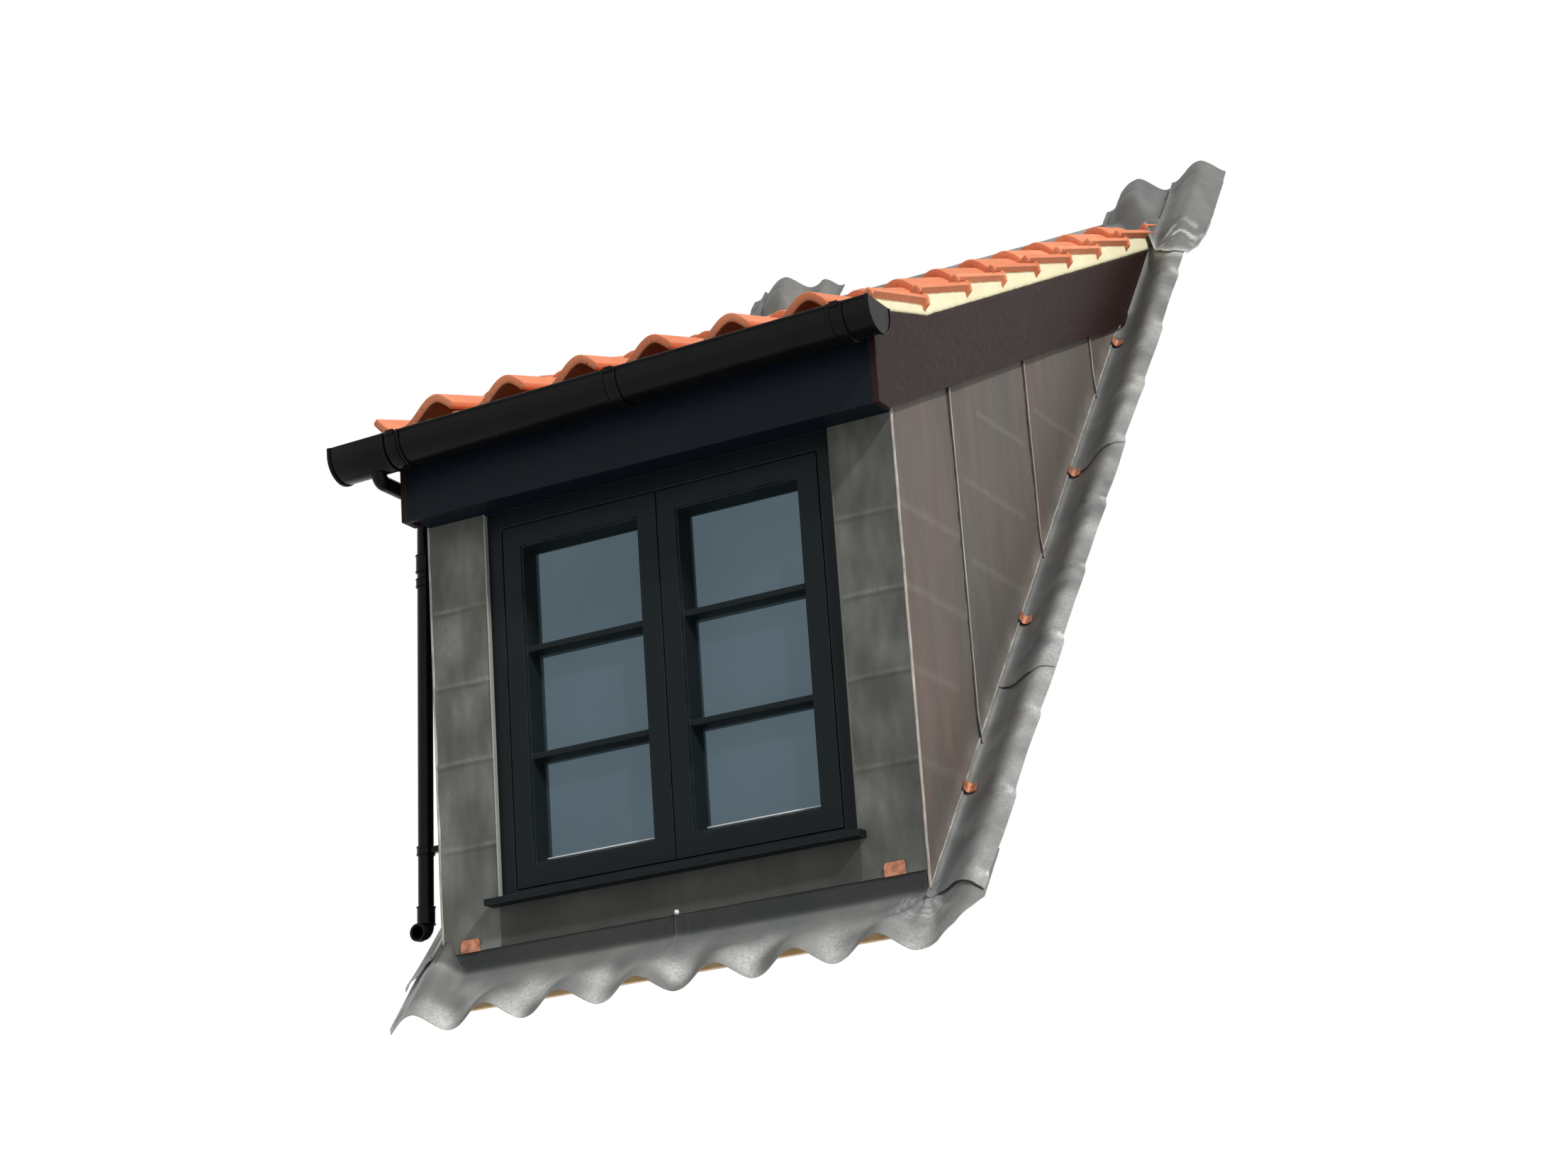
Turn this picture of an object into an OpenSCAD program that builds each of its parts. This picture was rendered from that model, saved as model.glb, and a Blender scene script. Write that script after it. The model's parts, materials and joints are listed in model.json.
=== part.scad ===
// Lead-clad shed dormer with a pair of casements, a pantiled roof and its eaves gutter.
// Origin: middle of the sloping underside of the front sill plate, where it sits on the rafters.
// +X runs along the eaves, +Y into the roof, +Z up. Millimetres.

/* [Main roof] */
// Pitch of the roof that the dormer stands on, in degrees
main_pitch = 50; // [46:0.5:54]
// Depth from the troughs of the main roof's tiles down to its rafters, square to the slope
cover_depth = 65; // [50:1:85]
// Distance from crest to crest of the main roof's tiles
tile_cover = 210; // [195:1:225]
// Height of a tile's crest above its trough
tile_rise = 62; // [50:1:70]
// Distance from a tile's crest down to the trough on its right
tile_fall = 78; // [70:1:88]
// Distance from the right cheek to the first crest of the main roof's tiles
flash_crest = 141; // [132:1:150]

/* [Window] */
// Width of the window frame
window_w = 1000; // [800:5:1200]
// Height of the window frame
window_h = 1010; // [850:5:1150]
// Height of the foot of the window frame above the foot of the front face
sill_height = 185; // [165:1:230]
// Depth of the window frame from front to back
frame_d = 90; // [84:1:100]
// Width of the frame's jambs as seen from the front
frame_face = 42; // [34:1:55]
// Height of the frame's head as seen from the front
frame_head = 46; // [36:1:60]
// Height of the frame's foot as seen from the front
frame_foot = 16; // [10:1:30]
// How far the frame stands back from the lead face
frame_setback = 12; // [6:1:20]
// Lip inside the frame that the casements close against
frame_stop = 12; // [8:1:18]
// Width of a casement's stiles and rails
sash_face = 52; // [44:1:64]
// Thickness of a casement
sash_d = 68; // [60:1:74]
// Gap round a closed casement
sash_gap = 3; // [2:0.5:4]
// Thickness of the sealed glass unit
glass_t = 24; // [18:1:28]
// How far the glass stands back from the casement's face
glass_setback = 42; // [30:1:46]
// How far the glass reaches into the casement's groove
glass_bite = 12; // [8:1:16]
// Thickness of the window sill
sill_t = 20; // [14:1:30]
// How far the sill stands out in front of the lead face
sill_out = 42; // [30:1:60]
// How far the sill runs past the window frame at each end
sill_horn = 20; // [10:1:40]
// Thickness of the inner window board
board_inner_t = 22; // [18:1:30]
// How far the window board stands out into the room
board_inner_out = 35; // [20:1:60]

/* [Walls] */
// Width of the lead face beside the window
jamb_w = 172; // [150:1:220]
// Depth of the studs, posts and plates
stud_d = 95; // [75:1:120]
// Thickness of the boarding under the lead
boarding_t = 18; // [12:1:25]
// Thickness of the lead sheet
lead_t = 2.5; // [1.5:0.1:4]
// Thickness of the plasterboard
lining_t = 12.5; // [9:0.5:18]
// Thickness of the sole plates, square to the main roof
plate_t = 50; // [38:1:70]
// Height of the front sill plate where it is thinnest
sill_plate_t = 20; // [15:1:35]
// Height of the lintel at its front
lintel_h = 62; // [55:1:90]
// Height of the joint between the front lead and the apron, above the foot of the front face
step_height = 70; // [55:1:90]

/* [Dormer roof] */
// Pitch of the dormer's roof, in degrees
dormer_pitch = 25; // [22:0.5:28]
// Depth of the dormer's rafters
rafter_d = 117; // [95:1:140]
// Thickness of the dormer's rafters
rafter_w = 45; // [38:1:50]
// Number of rafters
rafter_count = 4; // [3:1:5]
// Thickness of the roof boarding
deck_t = 15; // [12:1:22]
// Thickness of the tile battens
batten_t = 25; // [19:1:32]
// Width of the tile battens
batten_w = 38; // [25:1:50]
// Length of a tile
tile_len = 350; // [340:1:370]
// Thickness of a tile
tile_t = 14; // [11:0.5:17]
// Thickness of a tile's nose, which is turned down onto the tile below
nose_t = 22; // [19:0.5:26]
// Length of the turned-down nose
nose_len = 15; // [10:1:16]
// Distance from crest to crest of the dormer's tiles
dormer_cover = 217; // [205:1:222]
// Distance from course to course up the slope
tile_gauge = 272; // [260:1:280]
// Distance from the eaves course to the next
eaves_gauge = 303; // [290:1:308]
// Height of the nose of the eaves course above the battens
eaves_kick = 51; // [46:1:60]
// Distance from a tile's head down to the middle of its batten
batten_back = 30; // [24:1:36]
// How far the tiles run past the left bargeboard
verge_over = 45; // [35:1:50]
// How far the sawn edge of the last tiles stands proud of the right bargeboard
verge_proud = 7; // [3:0.5:10]
// Distance from that sawn edge back to the last whole crest
verge_crest = 162; // [150:1:175]
// Clearance between one course of tiles and the next
lap_clear = 0.5; // [0.3:0.1:1]

/* [Eaves and verges] */
// How far the fascia stands out in front of the lead face
eaves_out = 97; // [80:1:120]
// Thickness of the fascia and bargeboards
fascia_t = 18; // [15:1:25]
// Clearance between the fascia's top and the tiles' troughs
fascia_clear = 2; // [1:0.5:6]
// How far the fascia hangs below the soffit
fascia_drip = 8; // [4:1:15]
// Thickness of the soffit
soffit_t = 9; // [6:1:12]
// How far the tiles run out over the fascia
tile_over = 18; // [10:1:40]
// Depth of the bargeboard, square to its slope
barge_d = 187; // [170:1:210]
// How far the bargeboard's top edge lies below the tile bed
barge_drop = 8; // [4:1:14]
// Depth of the mortar between the bargeboard and the troughs of the eaves course
mortar_front = 3; // [1:0.5:8]
// Width of the mortar bed at each verge
mortar_w = 80; // [60:1:100]
// Distance from the front face to where the verge straightens
verge_kink = 228; // [180:1:270]

/* [Rainwater] */
// Width of the gutter
gutter_w = 115; // [100:1:125]
// Height of the straight part of the gutter's sides
gutter_side = 22; // [12:1:30]
// Thickness of the gutter and pipe walls
plastic_t = 3; // [2:0.5:4]
// How far the middle of the gutter's rim lies below the top of the fascia
gutter_drop = 20; // [16:1:40]
// Fall of the gutter along its length
gutter_fall = 24; // [0:1:35]
// How far the gutter runs out past the dormer's left corner
gutter_left = 154; // [140:1:170]
// How far the gutter runs out past the dormer's right corner
gutter_right = 63; // [45:1:80]
// Outer diameter of the downpipe
pipe_d = 40; // [36:1:45]
// Radius of the downpipe's bends, on its middle line
bend_r = 24; // [23.5:0.5:30]
// Clearance between the downpipe and the bargeboard
pipe_clear = 4; // [1:0.5:8]
// How far the downpipe stands behind the front face
pipe_back = 48; // [45:1:80]
// How far the downpipe leans away from the cheek, in degrees
pipe_lean = 2; // [0:0.25:3]
// Height of the shoe's mouth above the foot of the front face
shoe_height = 142; // [130:1:180]
// Length of the sockets on the downpipe
socket_len = 45; // [35:1:60]

/* [Lead] */
// Height of the fold between the apron's upstand and its slope
apron_fold = 15; // [8:1:22]
// How far the apron reaches down the main roof
apron_reach = 170; // [140:1:200]
// Height of the fold between a cheek and its flashing, square to the slope
fold_up = 12; // [8:1:20]
// How far the lead runs out past the right cheek
flash_right = 174; // [165:1:185]
// How far the lead runs out past the left cheek
flash_left = 95; // [85:1:140]
// Width of the standing welts on the cheeks
welt_w = 9; // [6:1:14]
// Distance from the front face to the first welt
welt_first = 345; // [300:1:400]
// Distance between welts
welt_gap = 512; // [450:1:540]
// Number of welts on each cheek
welt_count = 3; // [1:1:3]
// Length of the saddle flashings above the head of the dormer's tiles
saddle_len = 217; // [200:1:250]
// How far the head flashing laps down over the last course of tiles
head_lap = 110; // [80:1:140]
// How deep the turned-up lead lies below the troughs of the main roof's tiles
head_sink = 30; // [25:1:40]
// How far the turned-up lead runs on above the crests of the last course
head_turn = 30; // [20:1:60]
// Width of the copper clips
clip_w = 28; // [20:1:36]
// Distance up a cheek from the fold of the apron to the first clip
clip_first = 360; // [250:1:450]
// Distance between clips
clip_gap = 690; // [500:1:720]
// Number of clips on each cheek
clip_count = 4; // [1:1:4]

/* [Hidden] */

// Colours
pine = "burlywood";
painted_black = "#1b1f22";
barge_brown = "#2b2321";
lead_grey = "#6d6f70";
terracotta = "#d9744a";
plasterboard = "#e6e2da";
$fn = 48;

// Steps in one wave of a tile or of the lead dressed over it
wave_steps = 12;
// Overlap that makes a cut clean
cut = 1;
// Larger than the whole dormer
far = 4000;

// Widths from the middle of the dormer
face_half = window_w / 2 + jamb_w;
board_half = face_half - lead_t;
stud_half = board_half - boarding_t;
inner_half = stud_half - stud_d;
room_half = inner_half - lining_t;
barge_half = face_half + fascia_t;
frame_half = window_w / 2;

// Depths from the front: lead face, boarding, studs, room
face_y = -(stud_d / 2 + boarding_t + lead_t);
boarding_y = face_y + lead_t;
stud_y = -stud_d / 2;
inner_y = stud_d / 2;
room_y = inner_y + lining_t;
fascia_y = face_y - eaves_out;
frame_y = face_y + frame_setback;
sash_y = frame_y;
glass_y = sash_y + glass_setback;

// Slopes and the heights that follow from them
main_rise = tan(main_pitch);
roof_rise = tan(dormer_pitch);
foot_z = main_rise * face_y + cover_depth / cos(main_pitch);
step_z = foot_z + step_height;
frame_z = foot_z + sill_height;
head_z = frame_z + window_h;
sill_z = frame_z - sill_t;
plate_top_z = main_rise * inner_y + sill_plate_t;
rafter_foot_z = head_z + lintel_h - roof_rise * stud_y;
rafter_top_z = rafter_foot_z + rafter_d / cos(dormer_pitch);
deck_top_z = rafter_top_z + deck_t / cos(dormer_pitch);
bed_z = deck_top_z + batten_t / cos(dormer_pitch);
barge_top_z = bed_z - barge_drop / cos(dormer_pitch);
barge_foot_z = barge_top_z - barge_d / cos(dormer_pitch);
eaves_foot_z = head_z - fascia_drip;
fascia_top_z = slope_at(bed_z, fascia_y) + eaves_kick * (1 - tile_over / (tile_len - batten_back))
    - fascia_clear;

// Height of the rafters' plane at a depth y
function seat_at(y) = main_rise * y;
// Depth at which a slope that is at height z over the origin meets the main roof, raised by up
function meet_y(z, up) = (z - up) / (main_rise - roof_rise);
function slope_at(z, y) = z + roof_rise * y;
plate_up = plate_t / cos(main_pitch);
trough_up = cover_depth / cos(main_pitch);

// Edges and crests of the dormer's tiles, then their courses up the slope from y = 0
function tiles_edge(side) = barge_half + (side > 0 ? verge_proud : verge_over);
rest_len = tile_len - batten_back;
nose_y = fascia_y - tile_over;
nose_first = (nose_y + eaves_kick * sin(dormer_pitch)) / cos(dormer_pitch);
bed_top = meet_y(bed_z, trough_up) / cos(dormer_pitch);
last_room = 0.18 * tile_gauge;
course_count = 2 + floor((bed_top - nose_first - eaves_gauge - last_room) / tile_gauge);
function nose_at(i) = i == 0 ? nose_first : nose_first + eaves_gauge + (i - 1) * tile_gauge;
function gauge_at(i) = i == 0 ? eaves_gauge : tile_gauge;
function lift_at(i) = i == 0 ? eaves_kick
    : nose_t + lap_clear + lift_at(i - 1) * (1 - gauge_at(i - 1) / rest_len);
function tilt_at(i) = asin(lift_at(i) / rest_len);

// Rise of a tiled or lead-dressed surface at x, where laid holds one of its crests and the distance
// between crests. Right of a crest it falls steeply and then rises slowly to the next. It is straight
// between steps counted from the crest, so that layers of different widths lie on each other.
function wave_step(i, cover) = let (x = cover * (i / wave_steps - floor(i / wave_steps)))
    tile_rise * (1 + cos(x < tile_fall ? 180 * x / tile_fall
        : 180 + 180 * (x - tile_fall) / (cover - tile_fall))) / 2;
function wave(x, laid) = let (at = (x - laid[0]) * wave_steps / laid[1], i = floor(at), part = at - i)
    wave_step(i, laid[1]) * (1 - part) + wave_step(i + 1, laid[1]) * part;
function steps(x0, x1, laid) = let (step_w = laid[1] / wave_steps) concat([x0],
    [for (i = [ceil((x0 - laid[0]) / step_w + 0.05):floor((x1 - laid[0]) / step_w - 0.05)])
        laid[0] + i * step_w], [x1]);
function reversed(list) = [for (i = [len(list) - 1:-1:0]) list[i]];
function sheet_outline(x0, x1, laid, t, up) = let (xs = steps(x0, x1, laid)) concat(
    [for (x = xs) [x, up + wave(x, laid)]],
    [for (x = reversed(xs)) [x, up + t + wave(x, laid)]]);

// How the tiles of the two roofs are laid: a crest, and the distance between crests
main_tiles = [face_half + flash_crest, tile_cover];
dormer_tiles = [tiles_edge(1) - verge_crest, dormer_cover];
function main_wave(x) = wave(x, main_tiles);

// Gutter section
gutter_r = gutter_w / 2;
gutter_y = fascia_y - plastic_t - gutter_r;
gutter_rim_z = fascia_top_z - gutter_drop;
bracket_t = plastic_t - 0.3;
gutter_x0 = -face_half - gutter_left;
gutter_x1 = face_half + gutter_right;
gutter_tilt = atan(gutter_fall / (gutter_x1 - gutter_x0));
bracket_w = 32;
bracket_in = 20;

// Downpipe: out of the gutter, back beside the bargeboard and down the cheek
pipe_r = pipe_d / 2;
pipe_x = -(barge_half + pipe_clear + pipe_r);
pipe_y = face_y + pipe_back;
outlet_z = gutter_rim_z + pipe_x * sin(gutter_tilt) - gutter_side - gutter_r + plastic_t;
neck_z = outlet_z - bend_r;
shoe_z = foot_z + shoe_height;
pipe_top_z = neck_z - bend_r;
pipe_foot_z = shoe_z + bend_r;
mouth_len = 15;
socket_t = 3;
upper_socket_z = eaves_foot_z - 2 * socket_len;

// Extrude an outline drawn in depth and height from x0 to x1
module from_side(x0, x1) {
    translate([x0, 0, 0])
        rotate([90, 0, 90])
            linear_extrude(x1 - x0)
                children();
}

// Extrude an outline drawn across the roof up a slope from s0 to s1
module up_slope(s0, s1) {
    translate([0, s1, 0])
        rotate([90, 0, 0])
            linear_extrude(s1 - s0)
                children();
}

// Frames of the two roofs: local Y up the slope, local Z square to it
module on_dormer_roof() {
    translate([0, 0, bed_z])
        rotate([dormer_pitch, 0, 0])
            children();
}

module on_main_roof() {
    rotate([main_pitch, 0, 0])
        children();
}

module on_gutter_line() {
    translate([0, gutter_y, gutter_rim_z])
        rotate([0, -gutter_tilt, 0])
            children();
}

// A band of the dormer's roof between two heights, from y0 back to the main roof's rafters
module roof_band(x0, x1, y0, z_low, z_high) {
    y_low = meet_y(z_low, 0);
    y_high = meet_y(z_high, 0);
    from_side(x0, x1)
        polygon([
            [y0, slope_at(z_low, y0)], [y_low, seat_at(y_low)],
            [y_high, seat_at(y_high)], [y0, slope_at(z_high, y0)]
        ]);
}

// An upright sheet on a cheek: from y0 to the main roof raised by up, under a roof slope
module cheek_sheet(x0, x1, y0, z_top, up) {
    y_end = meet_y(z_top, up);
    from_side(x0, x1)
        polygon([[y0, seat_at(y0) + up], [y_end, seat_at(y_end) + up], [y0, slope_at(z_top, y0)]]);
}

// Timber that stands on the main roof
module sill_plate() {
    color(pine)
        from_side(-stud_half, stud_half)
            polygon([
                [stud_y, seat_at(stud_y)], [inner_y, seat_at(inner_y)],
                [inner_y, plate_top_z], [stud_y, plate_top_z]
            ]);
}

module side_plate(x0) {
    y_end = meet_y(rafter_foot_z, 0);
    y_top = meet_y(rafter_foot_z, plate_up);
    color(pine)
        from_side(x0, x0 + stud_d)
            polygon([
                [inner_y, seat_at(inner_y)], [y_end, seat_at(y_end)],
                [y_top, seat_at(y_top) + plate_up], [inner_y, seat_at(inner_y) + plate_up]
            ]);
}

module side_plate_left() {
    side_plate(-stud_half);
}

module side_plate_right() {
    side_plate(inner_half);
}

// Front wall
module post_section() {
    polygon([
        [stud_y, plate_top_z], [inner_y, plate_top_z],
        [inner_y, slope_at(rafter_foot_z, inner_y)], [stud_y, slope_at(rafter_foot_z, stud_y)]
    ]);
}

module front_posts() {
    color(pine) {
        from_side(-stud_half, -frame_half)
            post_section();
        from_side(frame_half, stud_half)
            post_section();
    }
}

module front_rail() {
    color(pine)
        translate([-frame_half, stud_y, plate_top_z])
            cube([window_w, stud_d, sill_z - plate_top_z]);
}

module front_lintel() {
    color(pine)
        from_side(-frame_half, frame_half)
            polygon([
                [stud_y, head_z], [inner_y, head_z],
                [inner_y, slope_at(rafter_foot_z, inner_y)], [stud_y, slope_at(rafter_foot_z, stud_y)]
            ]);
}

module front_boarding() {
    low_z = seat_at(stud_y);
    color("tan")
        difference() {
            from_side(-board_half, board_half)
                polygon([
                    [boarding_y, low_z], [stud_y, low_z],
                    [stud_y, slope_at(rafter_foot_z, stud_y)],
                    [boarding_y, slope_at(rafter_foot_z, boarding_y)]
                ]);
            translate([-frame_half, boarding_y - cut, sill_z])
                cube([window_w, boarding_t + 2 * cut, head_z - sill_z]);
        }
}

// Cheeks: a stud wall packed with insulation, boarded outside
module cheek_wall(x0) {
    color(pine)
        cheek_sheet(x0, x0 + stud_d, inner_y, rafter_foot_z, plate_up);
}

module cheek_wall_left() {
    cheek_wall(-stud_half);
}

module cheek_wall_right() {
    cheek_wall(inner_half);
}

module cheek_boarding(x0) {
    y_end = meet_y(rafter_top_z, 0);
    color("tan")
        from_side(x0, x0 + boarding_t)
            polygon([
                [stud_y, seat_at(stud_y)], [y_end, seat_at(y_end)],
                [fascia_y + fascia_t, slope_at(rafter_top_z, fascia_y + fascia_t)],
                [fascia_y + fascia_t, slope_at(rafter_foot_z, fascia_y + fascia_t)],
                [stud_y, slope_at(rafter_foot_z, stud_y)]
            ]);
}

module cheek_boarding_left() {
    cheek_boarding(-board_half);
}

module cheek_boarding_right() {
    cheek_boarding(stud_half);
}

// Roof: rafters, insulation between them, boarding and battens
function rafter_x(i) = -stud_half + (2 * stud_half - rafter_w) * i / (rafter_count - 1);

module roof_rafters() {
    color(pine)
        for (i = [0:rafter_count - 1])
            roof_band(rafter_x(i), rafter_x(i) + rafter_w, fascia_y + fascia_t,
                rafter_foot_z, rafter_top_z);
}

module roof_insulation() {
    color("khaki")
        for (i = [0:rafter_count - 2])
            roof_band(rafter_x(i) + rafter_w, rafter_x(i + 1), stud_y, rafter_foot_z, rafter_top_z);
}

module roof_deck() {
    color("tan")
        roof_band(-board_half, board_half, fascia_y + fascia_t, rafter_top_z, deck_top_z);
}

module tile_battens() {
    batten_half = face_half + fascia_t - mortar_w;
    color(pine)
        on_dormer_roof()
            for (i = [0:course_count - 2])
                translate([-batten_half, nose_at(i) + rest_len * cos(tilt_at(i)) - batten_w, -batten_t])
                    cube([2 * batten_half, batten_w, batten_t]);
}

// Linings that show inside
module ceiling_lining() {
    low_z = rafter_foot_z - lining_t / cos(dormer_pitch);
    color(plasterboard)
        roof_band(-inner_half, inner_half, inner_y, low_z, rafter_foot_z);
}

module cheek_linings() {
    top_z = rafter_foot_z - lining_t / cos(dormer_pitch);
    color(plasterboard) {
        cheek_sheet(room_half, inner_half, inner_y, top_z, 0);
        cheek_sheet(-inner_half, -room_half, inner_y, top_z, 0);
    }
}

module front_lining() {
    top_z = rafter_foot_z - lining_t / cos(dormer_pitch);
    color(plasterboard)
        difference() {
            from_side(-room_half, room_half)
                polygon([
                    [inner_y, seat_at(inner_y)], [room_y, seat_at(room_y)],
                    [room_y, slope_at(top_z, room_y)], [inner_y, slope_at(top_z, inner_y)]
                ]);
            translate([-frame_half, inner_y - cut, sill_z])
                cube([window_w, lining_t + 2 * cut, head_z - sill_z]);
        }
}

module window_board() {
    board_y = frame_y + frame_d;
    color("white")
        translate([-frame_half, board_y, sill_z])
            cube([window_w, room_y + board_inner_out - board_y, board_inner_t]);
}

// Window: a frame with two side-hung casements that meet in the middle
open_half = frame_half - frame_face;
open_z = frame_z + frame_foot;
open_top = head_z - frame_head;
sash_w = open_half - 1.5 * sash_gap;
sash_h = open_top - open_z - 2 * sash_gap;

module frame_hole(y0, d, inset) {
    translate([-open_half + inset, y0, open_z + inset])
        cube([2 * (open_half - inset), d, open_top - open_z - 2 * inset]);
}

module window_frame() {
    color(painted_black)
        difference() {
            translate([-frame_half, frame_y, frame_z])
                cube([window_w, frame_d, window_h]);
            frame_hole(frame_y - cut, sash_d + cut, 0);
            frame_hole(frame_y, frame_d + cut, frame_stop);
        }
}

// How far the sill falls to its nose, and how far its horns lie below it at the lead
sill_fall = 4;
horn_low = 1;

module window_sill() {
    back_y = frame_y + frame_d;
    nose_z = frame_z - sill_fall;
    color(painted_black) {
        from_side(-frame_half, frame_half)
            polygon([
                [face_y - sill_out, sill_z], [back_y, sill_z], [back_y, frame_z],
                [frame_y, frame_z], [face_y - sill_out, nose_z]
            ]);
        for (side = [-1, 1])
            from_side(side * (frame_half + sill_horn / 2) - sill_horn / 2,
                side * (frame_half + sill_horn / 2) + sill_horn / 2)
                polygon([
                    [face_y - sill_out, sill_z], [face_y, sill_z],
                    [face_y, frame_z - horn_low], [face_y - sill_out, nose_z]
                ]);
    }
}

module sash(x0) {
    color(painted_black)
        translate([x0, sash_y, open_z + sash_gap])
            difference() {
                cube([sash_w, sash_d, sash_h]);
                translate([sash_face, -cut, sash_face])
                    cube([sash_w - 2 * sash_face, sash_d + 2 * cut, sash_h - 2 * sash_face]);
                translate([sash_face - glass_bite, glass_setback, sash_face - glass_bite])
                    cube([
                        sash_w - 2 * sash_face + 2 * glass_bite, glass_t,
                        sash_h - 2 * sash_face + 2 * glass_bite
                    ]);
            }
}

module glass(x0) {
    color("lightblue", 0.5)
        translate([x0 + sash_face - glass_bite, glass_y, open_z + sash_gap + sash_face - glass_bite])
            cube([
                sash_w - 2 * sash_face + 2 * glass_bite, glass_t,
                sash_h - 2 * sash_face + 2 * glass_bite
            ]);
}

module sash_left() {
    sash(-open_half + sash_gap);
}

module sash_right() {
    sash(sash_gap / 2);
}

module glass_left() {
    glass(-open_half + sash_gap);
}

module glass_right() {
    glass(sash_gap / 2);
}

// Pantiles: each course is one S-shaped sheet whose turned-down nose leans on the course below. The
// last one is cut where it would run into the lead that turns up the main roof.
module course(i) {
    translate([0, nose_at(i), lift_at(i)])
        rotate([-tilt_at(i), 0, 0])
            children();
}

module pantile_courses() {
    color(terracotta)
        difference() {
            on_dormer_roof()
                for (i = [0:course_count - 1])
                    course(i) {
                        up_slope(0, tile_len)
                            polygon(sheet_outline(-tiles_edge(-1), tiles_edge(1), dormer_tiles,
                                tile_t, 0));
                        up_slope(0, nose_len)
                            polygon(sheet_outline(-tiles_edge(-1), tiles_edge(1), dormer_tiles,
                                nose_t, tile_t - nose_t));
                    }
            from_side(-far, far)
                below_main_roof(turned_n + lead_t + cut);
        }
}

// Mortar that beds the verge tiles: it fills the space from the head of the tile below to its own
// tile's head, square to the roof, and the thin gap in the lap behind each nose
function mortar_start(i) = i == 0 ? nose_at(0) : nose_at(i - 1) + tile_len * cos(tilt_at(i - 1))
    + (tile_t + tile_rise) * sin(tilt_at(i - 1)) + lap_clear;
mortar_key = 6;

module mortar_bed(x0, x1) {
    outline = concat([[x1 + cut, -mortar_w], [x0 - cut, -mortar_w]],
        [for (x = steps(x0 - cut, x1 + cut, dormer_tiles)) [x, wave(x, dormer_tiles) - lap_clear]]);
    for (i = [0:course_count - 1]) {
        intersection() {
            translate([x0, mortar_start(i), -mortar_w])
                cube([x1 - x0, mortar_start(i + 1) - mortar_start(i) + lap_clear, 4 * mortar_w]);
            course(i)
                up_slope(-tile_len, 2 * tile_len)
                    polygon(outline);
        }
        if (i > 0)
            course(i)
                up_slope(nose_len + cut, mortar_start(i) - nose_at(i) + mortar_key)
                    polygon(sheet_outline(x0 + cut, x1 - cut, dormer_tiles,
                        nose_t - tile_t - 2 * lap_clear, tile_t - nose_t));
    }
}

module verge_mortar() {
    color("moccasin")
        for (side = [-1, 1])
            difference() {
                on_dormer_roof()
                    mortar_bed(min(side * barge_half, side * (barge_half - mortar_w)),
                        max(side * barge_half, side * (barge_half - mortar_w)));
                from_side(-barge_half - cut, -face_half)
                    verge_cut();
                from_side(face_half, barge_half + cut)
                    verge_cut();
                from_side(-face_half, face_half)
                    deck_cut();
                from_side(-far, far)
                    below_main_roof(cover_depth);
            }
}

// Everything below the bargeboard's top edge
barge_kink_y = face_y + verge_kink;
barge_front_z = slope_at(bed_z, fascia_y)
    + (eaves_kick * (1 - tile_over / rest_len) - mortar_front) / cos(dormer_pitch);

module verge_cut() {
    polygon([
        [fascia_y - far, -far], [far, -far], [far, slope_at(barge_top_z, far)],
        [barge_kink_y, slope_at(barge_top_z, barge_kink_y)], [fascia_y, barge_front_z],
        [fascia_y, far], [fascia_y - far, far]
    ]);
}

// Everything below the roof boarding's top and in front of the fascia's back
module deck_cut() {
    back_y = fascia_y + fascia_t;
    polygon([
        [-far, -far], [far, -far], [far, slope_at(deck_top_z, far)],
        [back_y, slope_at(deck_top_z, back_y)], [back_y, far], [-far, far]
    ]);
}

// Everything behind a plane at the given height over the main roof's rafters
module below_main_roof(n) {
    up = n / cos(main_pitch);
    polygon([[-far, seat_at(-far) + up], [far, seat_at(far) + up], [2 * far, -2 * far]]);
}

// Height of a bargeboard's rear end over the main roof's rafters: just clear of the lead there
function barge_up(side) = (cover_depth + lead_t + 2 * lap_clear
    + max(main_wave(side * face_half), main_wave(side * barge_half))) / cos(main_pitch);

// Eaves and verges
module fascia() {
    color(painted_black)
        translate([-face_half, fascia_y, eaves_foot_z])
            cube([2 * face_half, fascia_t, fascia_top_z - eaves_foot_z]);
}

module soffit() {
    back_y = fascia_y + fascia_t;
    color(painted_black)
        translate([-face_half, back_y, head_z])
            cube([2 * face_half, boarding_y - back_y, soffit_t]);
}

module bargeboard(x0, side) {
    rear_up = barge_up(side);
    top_y = meet_y(barge_top_z, rear_up);
    foot_y = meet_y(barge_foot_z, rear_up);
    level_y = (eaves_foot_z - barge_foot_z) / roof_rise;
    color(barge_brown)
        from_side(x0, x0 + fascia_t)
            polygon([
                [fascia_y, eaves_foot_z], [level_y, eaves_foot_z], [foot_y, seat_at(foot_y) + rear_up],
                [top_y, seat_at(top_y) + rear_up], [barge_kink_y, slope_at(barge_top_z, barge_kink_y)],
                [fascia_y, barge_front_z]
            ]);
}

module bargeboard_left() {
    bargeboard(-barge_half, -1);
}

module bargeboard_right() {
    bargeboard(face_half, 1);
}

// Rainwater goods
module gutter_section(r, side) {
    translate([0, -side])
        circle(r);
    translate([-r, -side])
        square([2 * r, side]);
}

module trough(x0, x1, r, t) {
    from_side(x0, x1)
        difference() {
            below_rim()
                gutter_section(r, gutter_side);
            gutter_section(r - t, gutter_side);
            translate([-r + t, -gutter_side])
                square([2 * (r - t), gutter_side + cut]);
        }
}

module below_rim() {
    intersection() {
        children();
        translate([-2 * gutter_w, -4 * gutter_w])
            square([4 * gutter_w, 4 * gutter_w]);
    }
}

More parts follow.
